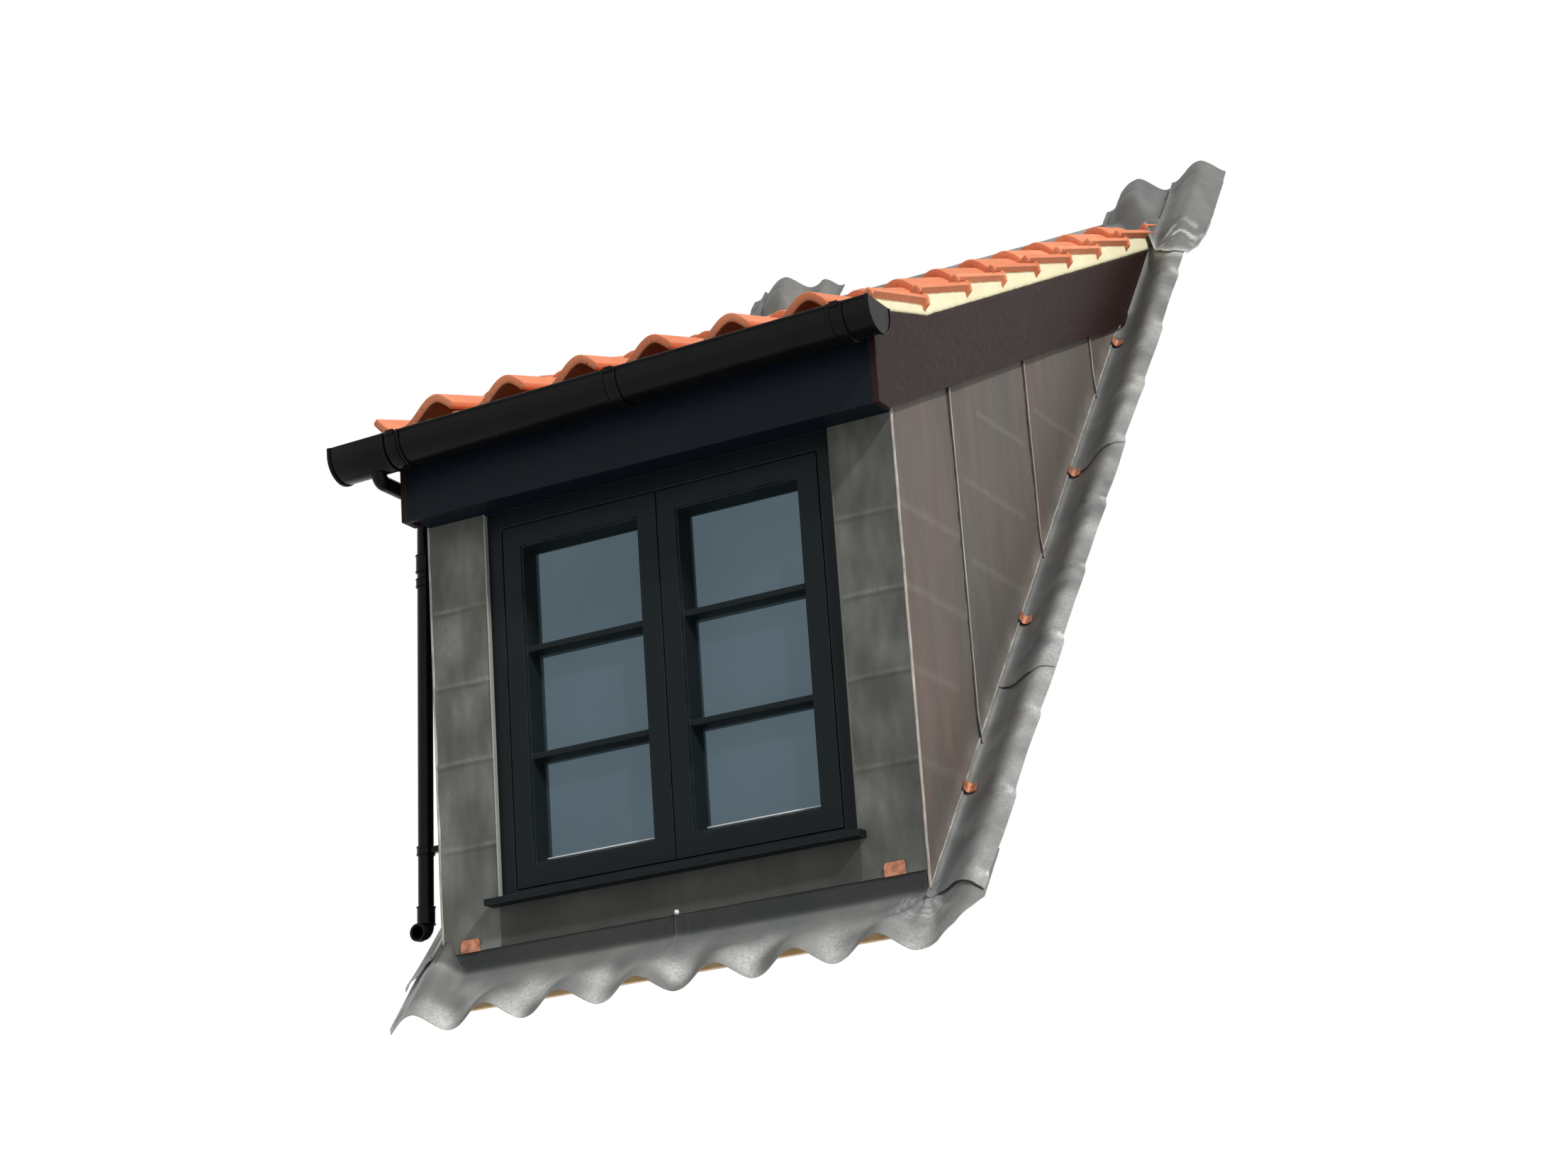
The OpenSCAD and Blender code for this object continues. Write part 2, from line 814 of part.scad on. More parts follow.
module gutter() {
    color(painted_black)
        difference() {
            on_gutter_line() {
                trough(gutter_x0, gutter_x1, gutter_r, plastic_t);
                for (x = [gutter_x0, gutter_x1 - plastic_t])
                    from_side(x, x + plastic_t)
                        below_rim()
                            gutter_section(gutter_r, gutter_side);
            }
            translate([pipe_x, gutter_y, outlet_z - 3 * plastic_t])
                cylinder(r = pipe_r + lap_clear, h = gutter_side);
        }
}

module gutter_brackets() {
    color(painted_black)
        on_gutter_line()
            for (x = [-face_half + bracket_in, 0, face_half - bracket_in / 2 - bracket_w])
                trough(x, x + bracket_w, gutter_r + plastic_t, bracket_t);
}

// The downpipe's frame: it hangs from the neck's middle line and leans away from the cheek
module on_pipe() {
    translate([pipe_x, 0, neck_z])
        rotate([0, pipe_lean, 0])
            children();
}

module ring(r, t) {
    difference() {
        circle(r);
        circle(r - t);
    }
}

module sleeve(z0, z1, r, t) {
    translate([0, pipe_y, z0 - neck_z])
        linear_extrude(z1 - z0)
            ring(r, t);
}

module level_sleeve(y0, y1, z, r, t) {
    translate([0, y1, z - neck_z])
        rotate([90, 0, 0])
            linear_extrude(y1 - y0)
                ring(r, t);
}

// A quarter bend round the point (y, z), from the angle start in depth and height
module bend(y, z, start) {
    translate([0, y, z - neck_z])
        rotate([90, 0, 90])
            rotate([0, 0, start])
                rotate_extrude(angle = 90)
                    translate([bend_r, 0])
                        ring(pipe_r, plastic_t);
}

module downpipe() {
    color(painted_black)
        on_pipe() {
            bend(gutter_y + bend_r, outlet_z, 180);
            level_sleeve(gutter_y + bend_r, pipe_y - bend_r, neck_z, pipe_r, plastic_t);
            bend(pipe_y - bend_r, pipe_top_z, 0);
            sleeve(pipe_foot_z, pipe_top_z, pipe_r, plastic_t);
            sleeve(upper_socket_z, upper_socket_z + socket_len, pipe_r + socket_t,
                socket_t + plastic_t);
            sleeve(pipe_foot_z, pipe_foot_z + socket_len, pipe_r + socket_t, socket_t + plastic_t);
            bend(pipe_y - bend_r, pipe_foot_z, 270);
            level_sleeve(pipe_y - bend_r - mouth_len, pipe_y - bend_r, shoe_z, pipe_r + socket_t,
                socket_t + plastic_t);
        }
}

module pipe_clips() {
    clip_h = 20;
    arm_d = 16;
    arm_in = 2;
    color(painted_black)
        for (z = [pipe_foot_z + 4 * socket_len, upper_socket_z - 2 * clip_h])
            difference() {
                union() {
                    on_pipe()
                        sleeve(z, z + clip_h, pipe_r + plastic_t, plastic_t);
                    from_side(pipe_x - (neck_z - z) * tan(pipe_lean), -face_half)
                        translate([pipe_y - arm_d / 2, z + arm_in])
                            square([arm_d, clip_h - 2 * arm_in]);
                }
                on_pipe()
                    translate([0, pipe_y, z - neck_z - clip_h])
                        cylinder(r = pipe_r, h = 3 * clip_h);
            }
}

// Lead
module lead_jambs() {
    color(lead_grey)
        for (x = [-face_half, frame_half])
            translate([x, face_y, step_z])
                cube([jamb_w, lead_t, head_z - step_z]);
}

module lead_under_sill() {
    color(lead_grey)
        translate([-frame_half, face_y, step_z])
            cube([window_w, lead_t, sill_z - step_z]);
}

// Height of the lead's fold at a cheek over the main roof's rafters, square to the slope
function fold_at(side) = cover_depth + main_wave(side * face_half) + fold_up;

module lead_cheek(x0, side) {
    up = fold_at(side) / cos(main_pitch);
    y_end = meet_y(rafter_top_z, up);
    color(lead_grey) {
        from_side(x0, x0 + lead_t)
            polygon([
                [boarding_y, seat_at(boarding_y) + up], [y_end, seat_at(y_end) + up],
                [boarding_y, slope_at(rafter_top_z, boarding_y)]
            ]);
        difference() {
            for (i = [0:welt_count - 1])
                welt(side, face_y + welt_first + i * welt_gap, up);
            translate([-board_half, -far, -far])
                cube([2 * board_half, 2 * far, 2 * far]);
        }
    }
}

// A standing welt from just above the fold to just below the bargeboard
module welt(side, y, up) {
    low_z = seat_at(y + welt_w / 2) + up + lap_clear;
    high_z = slope_at(barge_foot_z, y - welt_w / 2) - lap_clear;
    translate([side * face_half, y, low_z])
        cylinder(d = welt_w, h = high_z - low_z);
}

module lead_cheek_left() {
    lead_cheek(-face_half, -1);
}

module lead_cheek_right() {
    lead_cheek(board_half, 1);
}

// The apron starts straight at the fold and takes the waves of the tiles at its toe
function smooth(t) = t * t * (3 - 2 * t);
// How far the apron's slope runs on into its upstand
apron_back = 2;
fold_s = face_y * cos(main_pitch) + (foot_z + apron_fold) * sin(main_pitch);
fold_n = -face_y * sin(main_pitch) + (foot_z + apron_fold) * cos(main_pitch);
toe_s = face_y * cos(main_pitch) + foot_z * sin(main_pitch) - apron_reach;
function apron_n(x, t) = fold_n * (1 - smooth(t)) + (cover_depth + main_wave(x)) * smooth(t);
module apron_flashing() {
    xs = steps(-face_half - flash_left, face_half + flash_right, main_tiles);
    rows = 6;
    nx = len(xs);
    top_s = fold_s + apron_back;
    sheet = [for (r = [0:rows]) for (x = xs)
        [x, top_s + (toe_s - top_s) * r / rows, apron_n(x, r / rows)]];
    m = len(sheet);
    points = concat([for (p = sheet) p + [0, 0, lead_t]], sheet);
    cells = [for (r = [0:rows - 1]) for (c = [0:nx - 2])
        [r * nx + c, r * nx + c + 1, (r + 1) * nx + c + 1, (r + 1) * nx + c]];
    border = concat([for (c = [0:nx - 1]) c], [for (r = [1:rows]) r * nx + nx - 1],
        [for (c = [nx - 2:-1:0]) rows * nx + c], [for (r = [rows - 1:-1:1]) r * nx]);
    rim = [for (i = [0:len(border) - 1]) let (j = (i + 1) % len(border))
        [border[j], border[i], border[i] + m, border[j] + m]];
    faces = concat(cells, [for (f = cells) [f[3] + m, f[2] + m, f[1] + m, f[0] + m]], rim);
    color(lead_grey) {
        on_main_roof()
            polyhedron(points = points, faces = faces, convexity = 8);
        translate([-face_half, face_y, foot_z + apron_fold - lead_t / 2])
            cube([2 * face_half, lead_t, step_height - apron_fold + lead_t / 2]);
    }
}

// Sheets of lead on the main roof, from s0 to s1 up its slope
module main_lead(x0, x1, s0, s1) {
    up_slope(s0, s1)
        polygon(sheet_outline(min(x0, x1), max(x0, x1), main_tiles, lead_t, cover_depth));
}

// Side flashings run up the main roof beside the cheeks, over the first roll of its tiles. Their
// turned-up edge ends this far short of the bargeboard.
flash_short = 30;

function side_end(side) = meet_y(barge_foot_z, barge_up(side)) / cos(main_pitch);

module side_flashing(side, outer) {
    low_up = (cover_depth + main_wave(side * face_half) + lead_t / 2) / cos(main_pitch);
    high_up = (fold_at(side) - lap_clear) / cos(main_pitch);
    end_y = meet_y(barge_foot_z, barge_up(side)) - flash_short;
    color(lead_grey) {
        on_main_roof()
            main_lead(side * face_half, side * outer, fold_s + apron_back + lap_clear, side_end(side));
        from_side(side > 0 ? board_half : -face_half, side > 0 ? face_half : -board_half)
            polygon([
                [boarding_y, seat_at(boarding_y) + low_up], [end_y, seat_at(end_y) + low_up],
                [end_y, seat_at(end_y) + high_up], [boarding_y, seat_at(boarding_y) + high_up]
            ]);
    }
}

module side_flashing_left() {
    side_flashing(-1, face_half + flash_left);
}

module side_flashing_right() {
    side_flashing(1, face_half + flash_right);
}

// Saddles carry the side flashings on round the corners where the verges meet the main roof. Above
// the dormer's tiles they start where the lead on the main roof comes clear of those tiles.
head_s = meet_y(bed_z + (tile_rise + 2 * tile_t) / cos(dormer_pitch), trough_up) / cos(main_pitch);
saddle_s = head_s + trough_up * sin(main_pitch);
saddle_top = head_s + saddle_len;
saddle_half = barge_half - tile_cover;
// Where the tiles' overhang at the verge comes down to the lead
function overhang_s(side) = meet_y(bed_z, (cover_depth + 2 * lead_t
    + max(main_wave(side * barge_half), main_wave(side * tiles_edge(side)))) / cos(main_pitch))
    / cos(main_pitch);

module saddle(side, outer) {
    edge = tiles_edge(side) + cut;
    main_lead(side * barge_half, side * edge, side_end(side), overhang_s(side));
    main_lead(side * edge, side * outer, side_end(side), saddle_top);
    main_lead(side * saddle_half, side * edge, saddle_s, saddle_top);
}

module saddle_flashings() {
    color(lead_grey)
        on_main_roof() {
            saddle(-1, face_half + flash_left);
            saddle(1, face_half + flash_right);
        }
}

// Lead across the head is dressed over the last course and turned up under the main roof's tiles.
// There it lies where a height h over the bed of the dormer's tiles comes down to it.
turned_n = cover_depth - head_sink;
function turned_s(h) = turned_n * tan(main_pitch)
    + meet_y(bed_z + h / cos(dormer_pitch), turned_n / cos(main_pitch)) / cos(main_pitch);

module head_flashing() {
    half = saddle_half - cut;
    last = course_count - 1;
    head_y = head_s * cos(main_pitch) / cos(dormer_pitch) - nose_at(last);
    low_s = turned_s(tile_t);
    high_s = turned_s(tile_rise + 2 * tile_t) + head_turn;
    color(lead_grey) {
        difference() {
            on_dormer_roof()
                course(last)
                    up_slope(head_y - head_lap, head_y + tile_len)
                        polygon(sheet_outline(-half, half, dormer_tiles, lead_t, tile_t + lap_clear));
            from_side(-far, far)
                below_main_roof(turned_n + lead_t / 2);
        }
        on_main_roof()
            translate([-half + cut, low_s, turned_n])
                cube([2 * (half - cut), high_s - low_s, lead_t]);
    }
}

// Copper clips fold up over the lower edges of the cladding
clip_t = 1;
clip_drop = 8;

module cheek_clips(side) {
    x0 = side > 0 ? face_half : -face_half - clip_t;
    room = side_end(side) - fold_s - clip_w - clip_t;
    on_main_roof()
        for (up = [clip_first:clip_gap:min(room, clip_first + (clip_count - 1) * clip_gap + 1)])
            translate([x0, fold_s + up, fold_at(side) - clip_drop])
                cube([clip_t, clip_w, clip_w]);
}

module copper_clips() {
    color("peru")
        for (side = [-1, 1]) {
            cheek_clips(side);
            translate([side * (face_half - jamb_w / 2) - clip_w / 2, face_y - clip_t,
                step_z - clip_drop])
                cube([clip_w, clip_t, clip_w]);
        }
}

sill_plate();
side_plate_left();
side_plate_right();
front_posts();
front_rail();
front_lintel();
front_boarding();
cheek_wall_left();
cheek_wall_right();
cheek_boarding_left();
cheek_boarding_right();
roof_rafters();
roof_insulation();
roof_deck();
tile_battens();
ceiling_lining();
cheek_linings();
front_lining();
window_board();
window_frame();
window_sill();
sash_left();
sash_right();
glass_left();
glass_right();
pantile_courses();
verge_mortar();
fascia();
soffit();
bargeboard_left();
bargeboard_right();
gutter();
gutter_brackets();
downpipe();
pipe_clips();
lead_jambs();
lead_under_sill();
lead_cheek_left();
lead_cheek_right();
apron_flashing();
side_flashing_left();
side_flashing_right();
saddle_flashings();
head_flashing();
copper_clips();
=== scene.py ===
# %% [markdown]
# A small dormer window stands on a steep tiled roof. Its walls are timber frames clad in sheet
# lead, its window is a pair of dark painted casements, and its own roof is covered with S-shaped
# clay tiles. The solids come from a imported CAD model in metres, so everything that is added here
# goes straight to its real place. The model gives each part's size; this script gives it its look.

import json
import random
from math import asin, atan, atan2, cos, exp, hypot, log, pi, radians, sin, tan

import bmesh
import bpy
from mathutils import Matrix, Vector, noise

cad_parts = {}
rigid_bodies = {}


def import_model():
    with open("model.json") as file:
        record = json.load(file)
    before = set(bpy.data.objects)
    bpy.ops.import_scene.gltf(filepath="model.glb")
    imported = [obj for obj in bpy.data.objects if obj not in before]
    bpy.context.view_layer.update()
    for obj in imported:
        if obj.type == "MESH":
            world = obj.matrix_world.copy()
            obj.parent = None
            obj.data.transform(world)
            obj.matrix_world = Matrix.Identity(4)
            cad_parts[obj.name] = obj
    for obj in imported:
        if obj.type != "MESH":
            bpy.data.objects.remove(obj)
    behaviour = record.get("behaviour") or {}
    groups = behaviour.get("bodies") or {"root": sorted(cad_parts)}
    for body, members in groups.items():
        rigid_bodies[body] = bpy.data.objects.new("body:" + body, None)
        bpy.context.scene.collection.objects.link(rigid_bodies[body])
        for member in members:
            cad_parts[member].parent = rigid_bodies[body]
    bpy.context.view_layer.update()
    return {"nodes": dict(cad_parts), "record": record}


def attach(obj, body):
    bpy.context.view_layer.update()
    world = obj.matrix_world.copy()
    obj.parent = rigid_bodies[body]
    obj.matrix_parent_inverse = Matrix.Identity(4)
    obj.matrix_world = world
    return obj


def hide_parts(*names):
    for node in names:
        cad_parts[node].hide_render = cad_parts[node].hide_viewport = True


def brief(values):
    return [round(v, 3) for v in values]


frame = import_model()

# %% [markdown]
# The same few sizes that set out the real dormer are needed again here. X runs along the eaves, Y
# into the roof and Z up. The main roof rises at 50 degrees and the dormer's own roof at 25. A point
# on a roof is given by x, by s up its slope and by n square to it.

# %% Sizes that the dressed pieces follow
MAIN_PITCH, DORMER_PITCH = radians(50), radians(25)
HAND = {1: "right", -1: "left"}
# the front: lead face, bargeboard, window frame and levels
FACE_Y, FACE_HALF, BARGE_HALF = -0.068, 0.672, 0.690
FRAME_Y, FRAME_HALF = -0.056, 0.5
STEP_Z, SILL_Z, HEAD_Z = 0.090, 0.185, 1.215
# the tiles: troughs over the rafters, height and fall of a roll, then both roofs' spacing
COVER, RISE, FALL = 0.065, 0.062, 0.078
MAIN_CREST, MAIN_COVER, MAIN_GAUGE, FIRST_MAIN_NOSE = 0.813, 0.210, 0.306, -0.046
TILE_CREST, TILE_COVER, BED_Z = 0.535, 0.217, 1.47246
TILE_LEN, TILE_REST, TILE_T = 0.350, 0.320, 0.014
NOSE_T, NOSE_LEN = 0.022, 0.0135
# the courses: s of each nose, and how far it lies over the plane of the battens
NOSES = [-0.178136, 0.124864] + [0.124864 + 0.272 * i for i in range(1, 8)]
LIFTS = [0.051, 0.0252094, 0.0262814, 0.0264422, 0.0264663, 0.0264699] + [0.0264706] * 3
EDGE_RIGHT, EDGE_LEFT = 0.697, -0.735
# the flashings: thickness, room over the tiles and the apron's fold, then where the sides end,
# the saddles, and the turned-up lead that the head flashing closes on
LEAD_T, ROOM, FOLD_S, FOLD_N = 0.0022, 0.0025, -0.0168, 0.0746
SIDE_OUTER = {1: 0.845, -1: 0.767}
SIDE_END = {1: 2.45989, -1: 2.26849}
SADDLE_TOP, SADDLE_HALF = 3.37081, 0.480
TURNED_N, TURNED_TOP = 0.0362, 3.3256


def half_wave(t):
    """From a crest at 0 down to a trough at 1 or -1."""
    return RISE * (1 + cos(pi * t)) / 2


def wave(x, crest=MAIN_CREST, cover=MAIN_COVER):
    """Rise of tiles over their troughs: a steep fall right of each crest, then a slow climb."""
    t = (x - crest) % cover
    return half_wave(t / FALL if t < FALL else (t - FALL) / (cover - FALL) - 1)


def on_slope(pitch, foot, x, s, n):
    c, d = cos(pitch), sin(pitch)
    return Vector((x, s * c - n * d, foot + s * d + n * c))


def on_main_roof(x, s, n):
    return on_slope(MAIN_PITCH, 0, x, s, n)


def place_on_main(point):
    """The s and n of a point, up the main roof and square to it."""
    c, d = cos(MAIN_PITCH), sin(MAIN_PITCH)
    return point.y * c + point.z * d, point.z * c - point.y * d


def on_course(course, x, along, up):
    """A point of one course of tiles: along it from its nose, and up over its underside."""
    nose, lift = NOSES[course], LIFTS[course]
    tilt = asin(lift / TILE_REST)
    c, d = cos(tilt), sin(tilt)
    return on_slope(DORMER_PITCH, BED_Z, x, nose + along * c + up * d, lift - along * d + up * c)


def smooth(t):
    """From 0 to 1 with no sudden start or stop."""
    t = min(max(t, 0.0), 1.0)
    return t * t * (3 - 2 * t)


def through(stations, at):
    """Straight between stations of (place, value)."""
    for (p0, v0), (p1, v1) in zip(stations, stations[1:]):
        if at <= p1:
            return v0 + (v1 - v0) * max(at - p0, 0) / (p1 - p0)
    return stations[-1][1]


def hump(x, middle, width):
    return exp(-((x - middle) / width) ** 2)


def unrest(x, y, size, seed):
    """A smooth random value of about -1 to 1 that changes over the given size."""
    return noise.noise(Vector((x / size, y / size, seed)))


def patches(x, y, size, seed):
    """The same from 0 to 1, mostly near either end."""
    return smooth(0.5 + 0.9 * unrest(x, y, size, seed))


print("eaves tiles end at", brief(on_course(0, 0, 0, 0)))

# %% [markdown]
# Blender's tools work on whatever is selected, and the loaded parts start out selected. So each
# step begins by selecting only its own pieces, or none.

# %% Helpers for modelling by hand
def take_up(*pieces):
    """Selects these pieces only, the first of them as the active one."""
    for thing in bpy.data.objects:
        thing.select_set(thing in pieces)
    if pieces:
        bpy.context.view_layer.objects.active = pieces[0]


def new_shape(name, tool, **settings):
    """Adds a ready shape and writes its place, turn and scale into its points."""
    take_up()
    tool(**settings)
    piece = bpy.context.active_object
    piece.name = name
    bpy.ops.object.transform_apply(location=True, rotation=True, scale=True)
    return piece


def new_block(name, low, high):
    """A box from its two corners, as a start."""
    low, high = Vector(low), Vector(high)
    return new_shape(name, bpy.ops.mesh.primitive_cube_add, size=1, location=(low + high) / 2,
        scale=high - low)


def new_rod(name, start, end, radius, sides):
    """A round bar between two points."""
    start, end = Vector(start), Vector(end)
    return new_shape(name, bpy.ops.mesh.primitive_cylinder_add, vertices=sides, radius=radius,
        depth=(end - start).length, location=(start + end) / 2,
        rotation=(end - start).to_track_quat("Z", "Y").to_euler())


def new_sheet(name, across, along, lie, mirrored=False):
    """A grid of across by along cells, laid point by point where lie(u, v) says."""
    piece = new_shape(name, bpy.ops.mesh.primitive_grid_add, x_subdivisions=across,
        y_subdivisions=along, size=1)
    for point in piece.data.vertices:
        point.co = lie(point.co.x + 0.5, point.co.y + 0.5)
    piece.data.update()
    if mirrored:
        edit_all(piece, bpy.ops.mesh.flip_normals)
    return piece


def leave_edit():
    bpy.ops.object.mode_set(mode="OBJECT")


def edit_all(piece, tool, **settings):
    """Uses one tool of edit mode on a whole piece."""
    take_up(piece)
    bpy.ops.object.mode_set(mode="EDIT")
    bpy.ops.mesh.select_all(action="SELECT")
    tool(**settings)
    leave_edit()
    return piece


def outward(piece):
    return edit_all(piece, bpy.ops.mesh.normals_make_consistent, inside=False)


def pick_faces(piece, wanted):
    """Goes into edit mode with only the faces selected for which wanted(middle, normal) is true."""
    take_up(piece)
    bpy.ops.object.mode_set(mode="EDIT")
    bpy.ops.mesh.select_mode(type="FACE")
    bpy.ops.mesh.select_all(action="DESELECT")
    shape = bmesh.from_edit_mesh(piece.data)
    for face in shape.faces:
        face.select_set(wanted(face.calc_center_median(), face.normal))
    bmesh.update_edit_mesh(piece.data)


def extrude(piece, wanted, shift):
    """Pulls the wanted faces out by a shift."""
    pick_faces(piece, wanted)
    bpy.ops.mesh.extrude_region_move(TRANSFORM_OT_translate={"value": shift})
    leave_edit()


def add_modifier(piece, kind, **settings):
    """Adds a modifier and applies it."""
    take_up(piece)
    step = piece.modifiers.new(kind.title(), kind)
    for key, value in settings.items():
        setattr(step, key, value)
    bpy.ops.object.modifier_apply(modifier=step.name)
    return piece


def ease(piece, width, angle=40):
    """Rounds the sharp arrises off."""
    return add_modifier(piece, "BEVEL", width=width, segments=2, limit_method="ANGLE",
        angle_limit=radians(angle))


def soften(piece, angle=35):
    take_up(piece)
    bpy.ops.object.shade_smooth_by_angle(angle=radians(angle))
    return piece


def thicken(piece, thickness=LEAD_T):
    """Gives a laid sheet its thickness, downwards, and shades it as one soft surface."""
    return soften(add_modifier(piece, "SOLIDIFY", thickness=thickness, offset=-1.0), 50)


def join(name, pieces):
    """Makes one object of several."""
    take_up(*pieces)
    bpy.ops.object.join()
    pieces[0].name = name
    return pieces[0]


def copy_of(piece, name):
    twin = piece.copy()
    twin.data = piece.data.copy()
    twin.name = name
    bpy.context.scene.collection.objects.link(twin)
    return twin


def mark(piece, rule, label="rub_and_painted_light"):
    """Writes a number on every point, which a material can read."""
    numbers = piece.data.attributes.new(label, "FLOAT", "POINT")
    numbers.data.foreach_set("value", [rule(point.co) for point in piece.data.vertices])
    return piece


def fit(piece, finish, slot, *stands_for):
    """Gives a finished piece its material, hangs it on the root body and hides the CAD parts that it
    stands for.
    """
    piece.data.materials.clear()
    piece.data.materials.append(finish)
    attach(piece, "root")
    if stands_for:
        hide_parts(*stands_for)
    triangles = sum(len(face.vertices) - 2 for face in piece.data.polygons)
    print(piece.name, triangles, "triangles")


# %% [markdown]
# Most finishes here share the same few effects: soft blotches where a surface has weathered
# unevenly, fine grit or hammer marks in its relief, long grain, and bright worn edges. Each effect
# is a shader node group, built once. It reads Object coordinates, so a pattern has its true size in
# metres and stays put on the piece. Colours are given as they are read off a screen.

# %% Helpers for shader nodes
def colour(value):
    """Three screen values to 255 as the linear ones that Blender wants; others stay as they are."""
    if isinstance(value, bpy.types.NodeSocket) or len(value) == 4:
        return value
    shares = [v / 255 for v in value]
    return tuple(v / 12.92 if v <= 0.04045 else ((v + 0.055) / 1.055) ** 2.4 for v in shares) + (1,)


def add_node(tree, kind, inputs=None, **settings):
    node = tree.nodes.new(kind)
    for key, value in settings.items():
        setattr(node, key, value)
    for key, value in (inputs or {}).items():
        if isinstance(value, bpy.types.NodeSocket):
            tree.links.new(value, node.inputs[key])
        else:
            node.inputs[key].default_value = value
    return node


def math_node(tree, operation, a, b, clamp=False):
    return add_node(tree, "ShaderNodeMath", {0: a, 1: b}, operation=operation,
        use_clamp=clamp).outputs[0]


def plus(tree, start, value, share):
    """The start and a share of the value."""
    return math_node(tree, "ADD", start, math_node(tree, "MULTIPLY", value, share))


def layered(tree, tone, *layers):
    """A colour under others, which each have a mask and a share of it."""
    for mask, over, share in layers:
        if share != 1:
            mask = math_node(tree, "MULTIPLY", mask, share)
        tone = add_node(tree, "ShaderNodeMix", {0: mask, 6: colour(tone), 7: colour(over)},
            data_type="RGBA").outputs[2]
    return tone


def ramp(tree, value, low, high):
    """0 below low, 1 above high, straight between."""
    return add_node(tree, "ShaderNodeMapRange", {"Value": value, "From Min": low,
        "From Max": high}, clamp=True).outputs["Result"]


def cloud(tree, stretch, scale, low, high, **more):
    """Noise in Object coordinates drawn out by a vector, with its contrast raised."""
    where = add_node(tree, "ShaderNodeTexCoord").outputs["Object"]
    spread = add_node(tree, "ShaderNodeVectorMath", {0: where, 1: stretch}, operation="MULTIPLY")
    grey = add_node(tree, "ShaderNodeTexNoise", {"Vector": spread.outputs[0], "Scale": scale, **more})
    return ramp(tree, grey.outputs["Fac"], low, high)


def new_group(name, inputs, *outputs):
    """An empty node group, what goes into it and what comes out."""
    group = bpy.data.node_groups.new(name, "ShaderNodeTree")
    for label, value in inputs.items():
        kind = "NodeSocketVector" if isinstance(value, tuple) else "NodeSocketFloat"
        group.interface.new_socket(label, in_out="INPUT", socket_type=kind).default_value = value
    for label in outputs:
        group.interface.new_socket(label, in_out="OUTPUT", socket_type="NodeSocketFloat")
    given, made = group.nodes.new("NodeGroupInput"), group.nodes.new("NodeGroupOutput")
    return group, given.outputs, made.inputs


def use_group(tree, group, **inputs):
    named = {key.title(): value for key, value in inputs.items()}
    return add_node(tree, "ShaderNodeGroup", named, node_tree=group).outputs


# %% Blotches: two sizes of soft cloud
blotches, given, made = new_group("blotches", {"Size": 0.1, "Stretch": (1, 1, 1)}, "Mask", "Fine")
rate = math_node(blotches, "DIVIDE", 1.0, given["Size"])
quick = math_node(blotches, "MULTIPLY", rate, 6.3)
blotches.links.new(cloud(blotches, given["Stretch"], rate, 0.34, 0.66, Detail=3.0, Roughness=0.55),
    made["Mask"])
blotches.links.new(cloud(blotches, given["Stretch"], quick, 0.3, 0.7, Detail=4.0, Roughness=0.65),
    made["Fine"])

# %% Worn edges: where a rounded-off normal turns away from the true one
worn_edges, given, made = new_group("worn_edges", {"Width": 0.004, "Amount": 1.0}, "Mask")
rounded = add_node(worn_edges, "ShaderNodeBevel", {"Radius": given["Width"]}, samples=4)
flat = add_node(worn_edges, "ShaderNodeNewGeometry")
agree = add_node(worn_edges, "ShaderNodeVectorMath",
    {0: rounded.outputs["Normal"], 1: flat.outputs["Normal"]}, operation="DOT_PRODUCT")
turned = ramp(worn_edges, agree.outputs["Value"], 0.995, 0.86)
broken = cloud(worn_edges, (1, 1, 1), 28.0, 0.35, 0.6, Detail=3.0)
amount = math_node(worn_edges, "MULTIPLY", turned, broken)
worn_edges.links.new(math_node(worn_edges, "MULTIPLY", amount, given["Amount"], True), made["Mask"])

# %% Grain: long streaks along one axis, for timber and brushed paint
grain, given, made = new_group("grain", {"Along": (1, 12, 12), "Scale": 6.0}, "Mask")
grain.links.new(cloud(grain, given["Along"], given["Scale"], 0.3, 0.7, Detail=5.0, Roughness=0.6,
    Distortion=0.6), made["Mask"])


def new_finish(name, roughness, specular=0.5, metallic=0.0, **constants):
    """A material whose plain numbers sit on the shader itself."""
    finish = bpy.data.materials.new(name)
    finish.use_nodes = True
    shader = finish.node_tree.nodes["Principled BSDF"]
    constants.update(Roughness=roughness, Specular_IOR_Level=specular, Metallic=metallic)
    for key, value in constants.items():
        shader.inputs[key.replace("_", " ")].default_value = value
    return finish, finish.node_tree, shader


def link_finish(tree, shader, tone, height, strength, distance, rough=None):
    """Leads a colour, a relief and perhaps a roughness to the shader."""
    tree.links.new(tone, shader.inputs["Base Color"])
    bump = add_node(tree, "ShaderNodeBump", {"Height": height, "Strength": strength,
        "Distance": distance})
    tree.links.new(bump.outputs["Normal"], shader.inputs["Normal"])
    if rough is not None:
        tree.links.new(rough, shader.inputs["Roughness"])


print("shader groups", [group.name for group in bpy.data.node_groups])

# %% [markdown]
# The dormer is seen from the ground, from the right and from below. The camera stands where the
# photographer stood, about 7 m away, and looks at the middle of the dormer through a longer lens.
# A pale sheet of floor lies far below, and the air round the dormer is white.

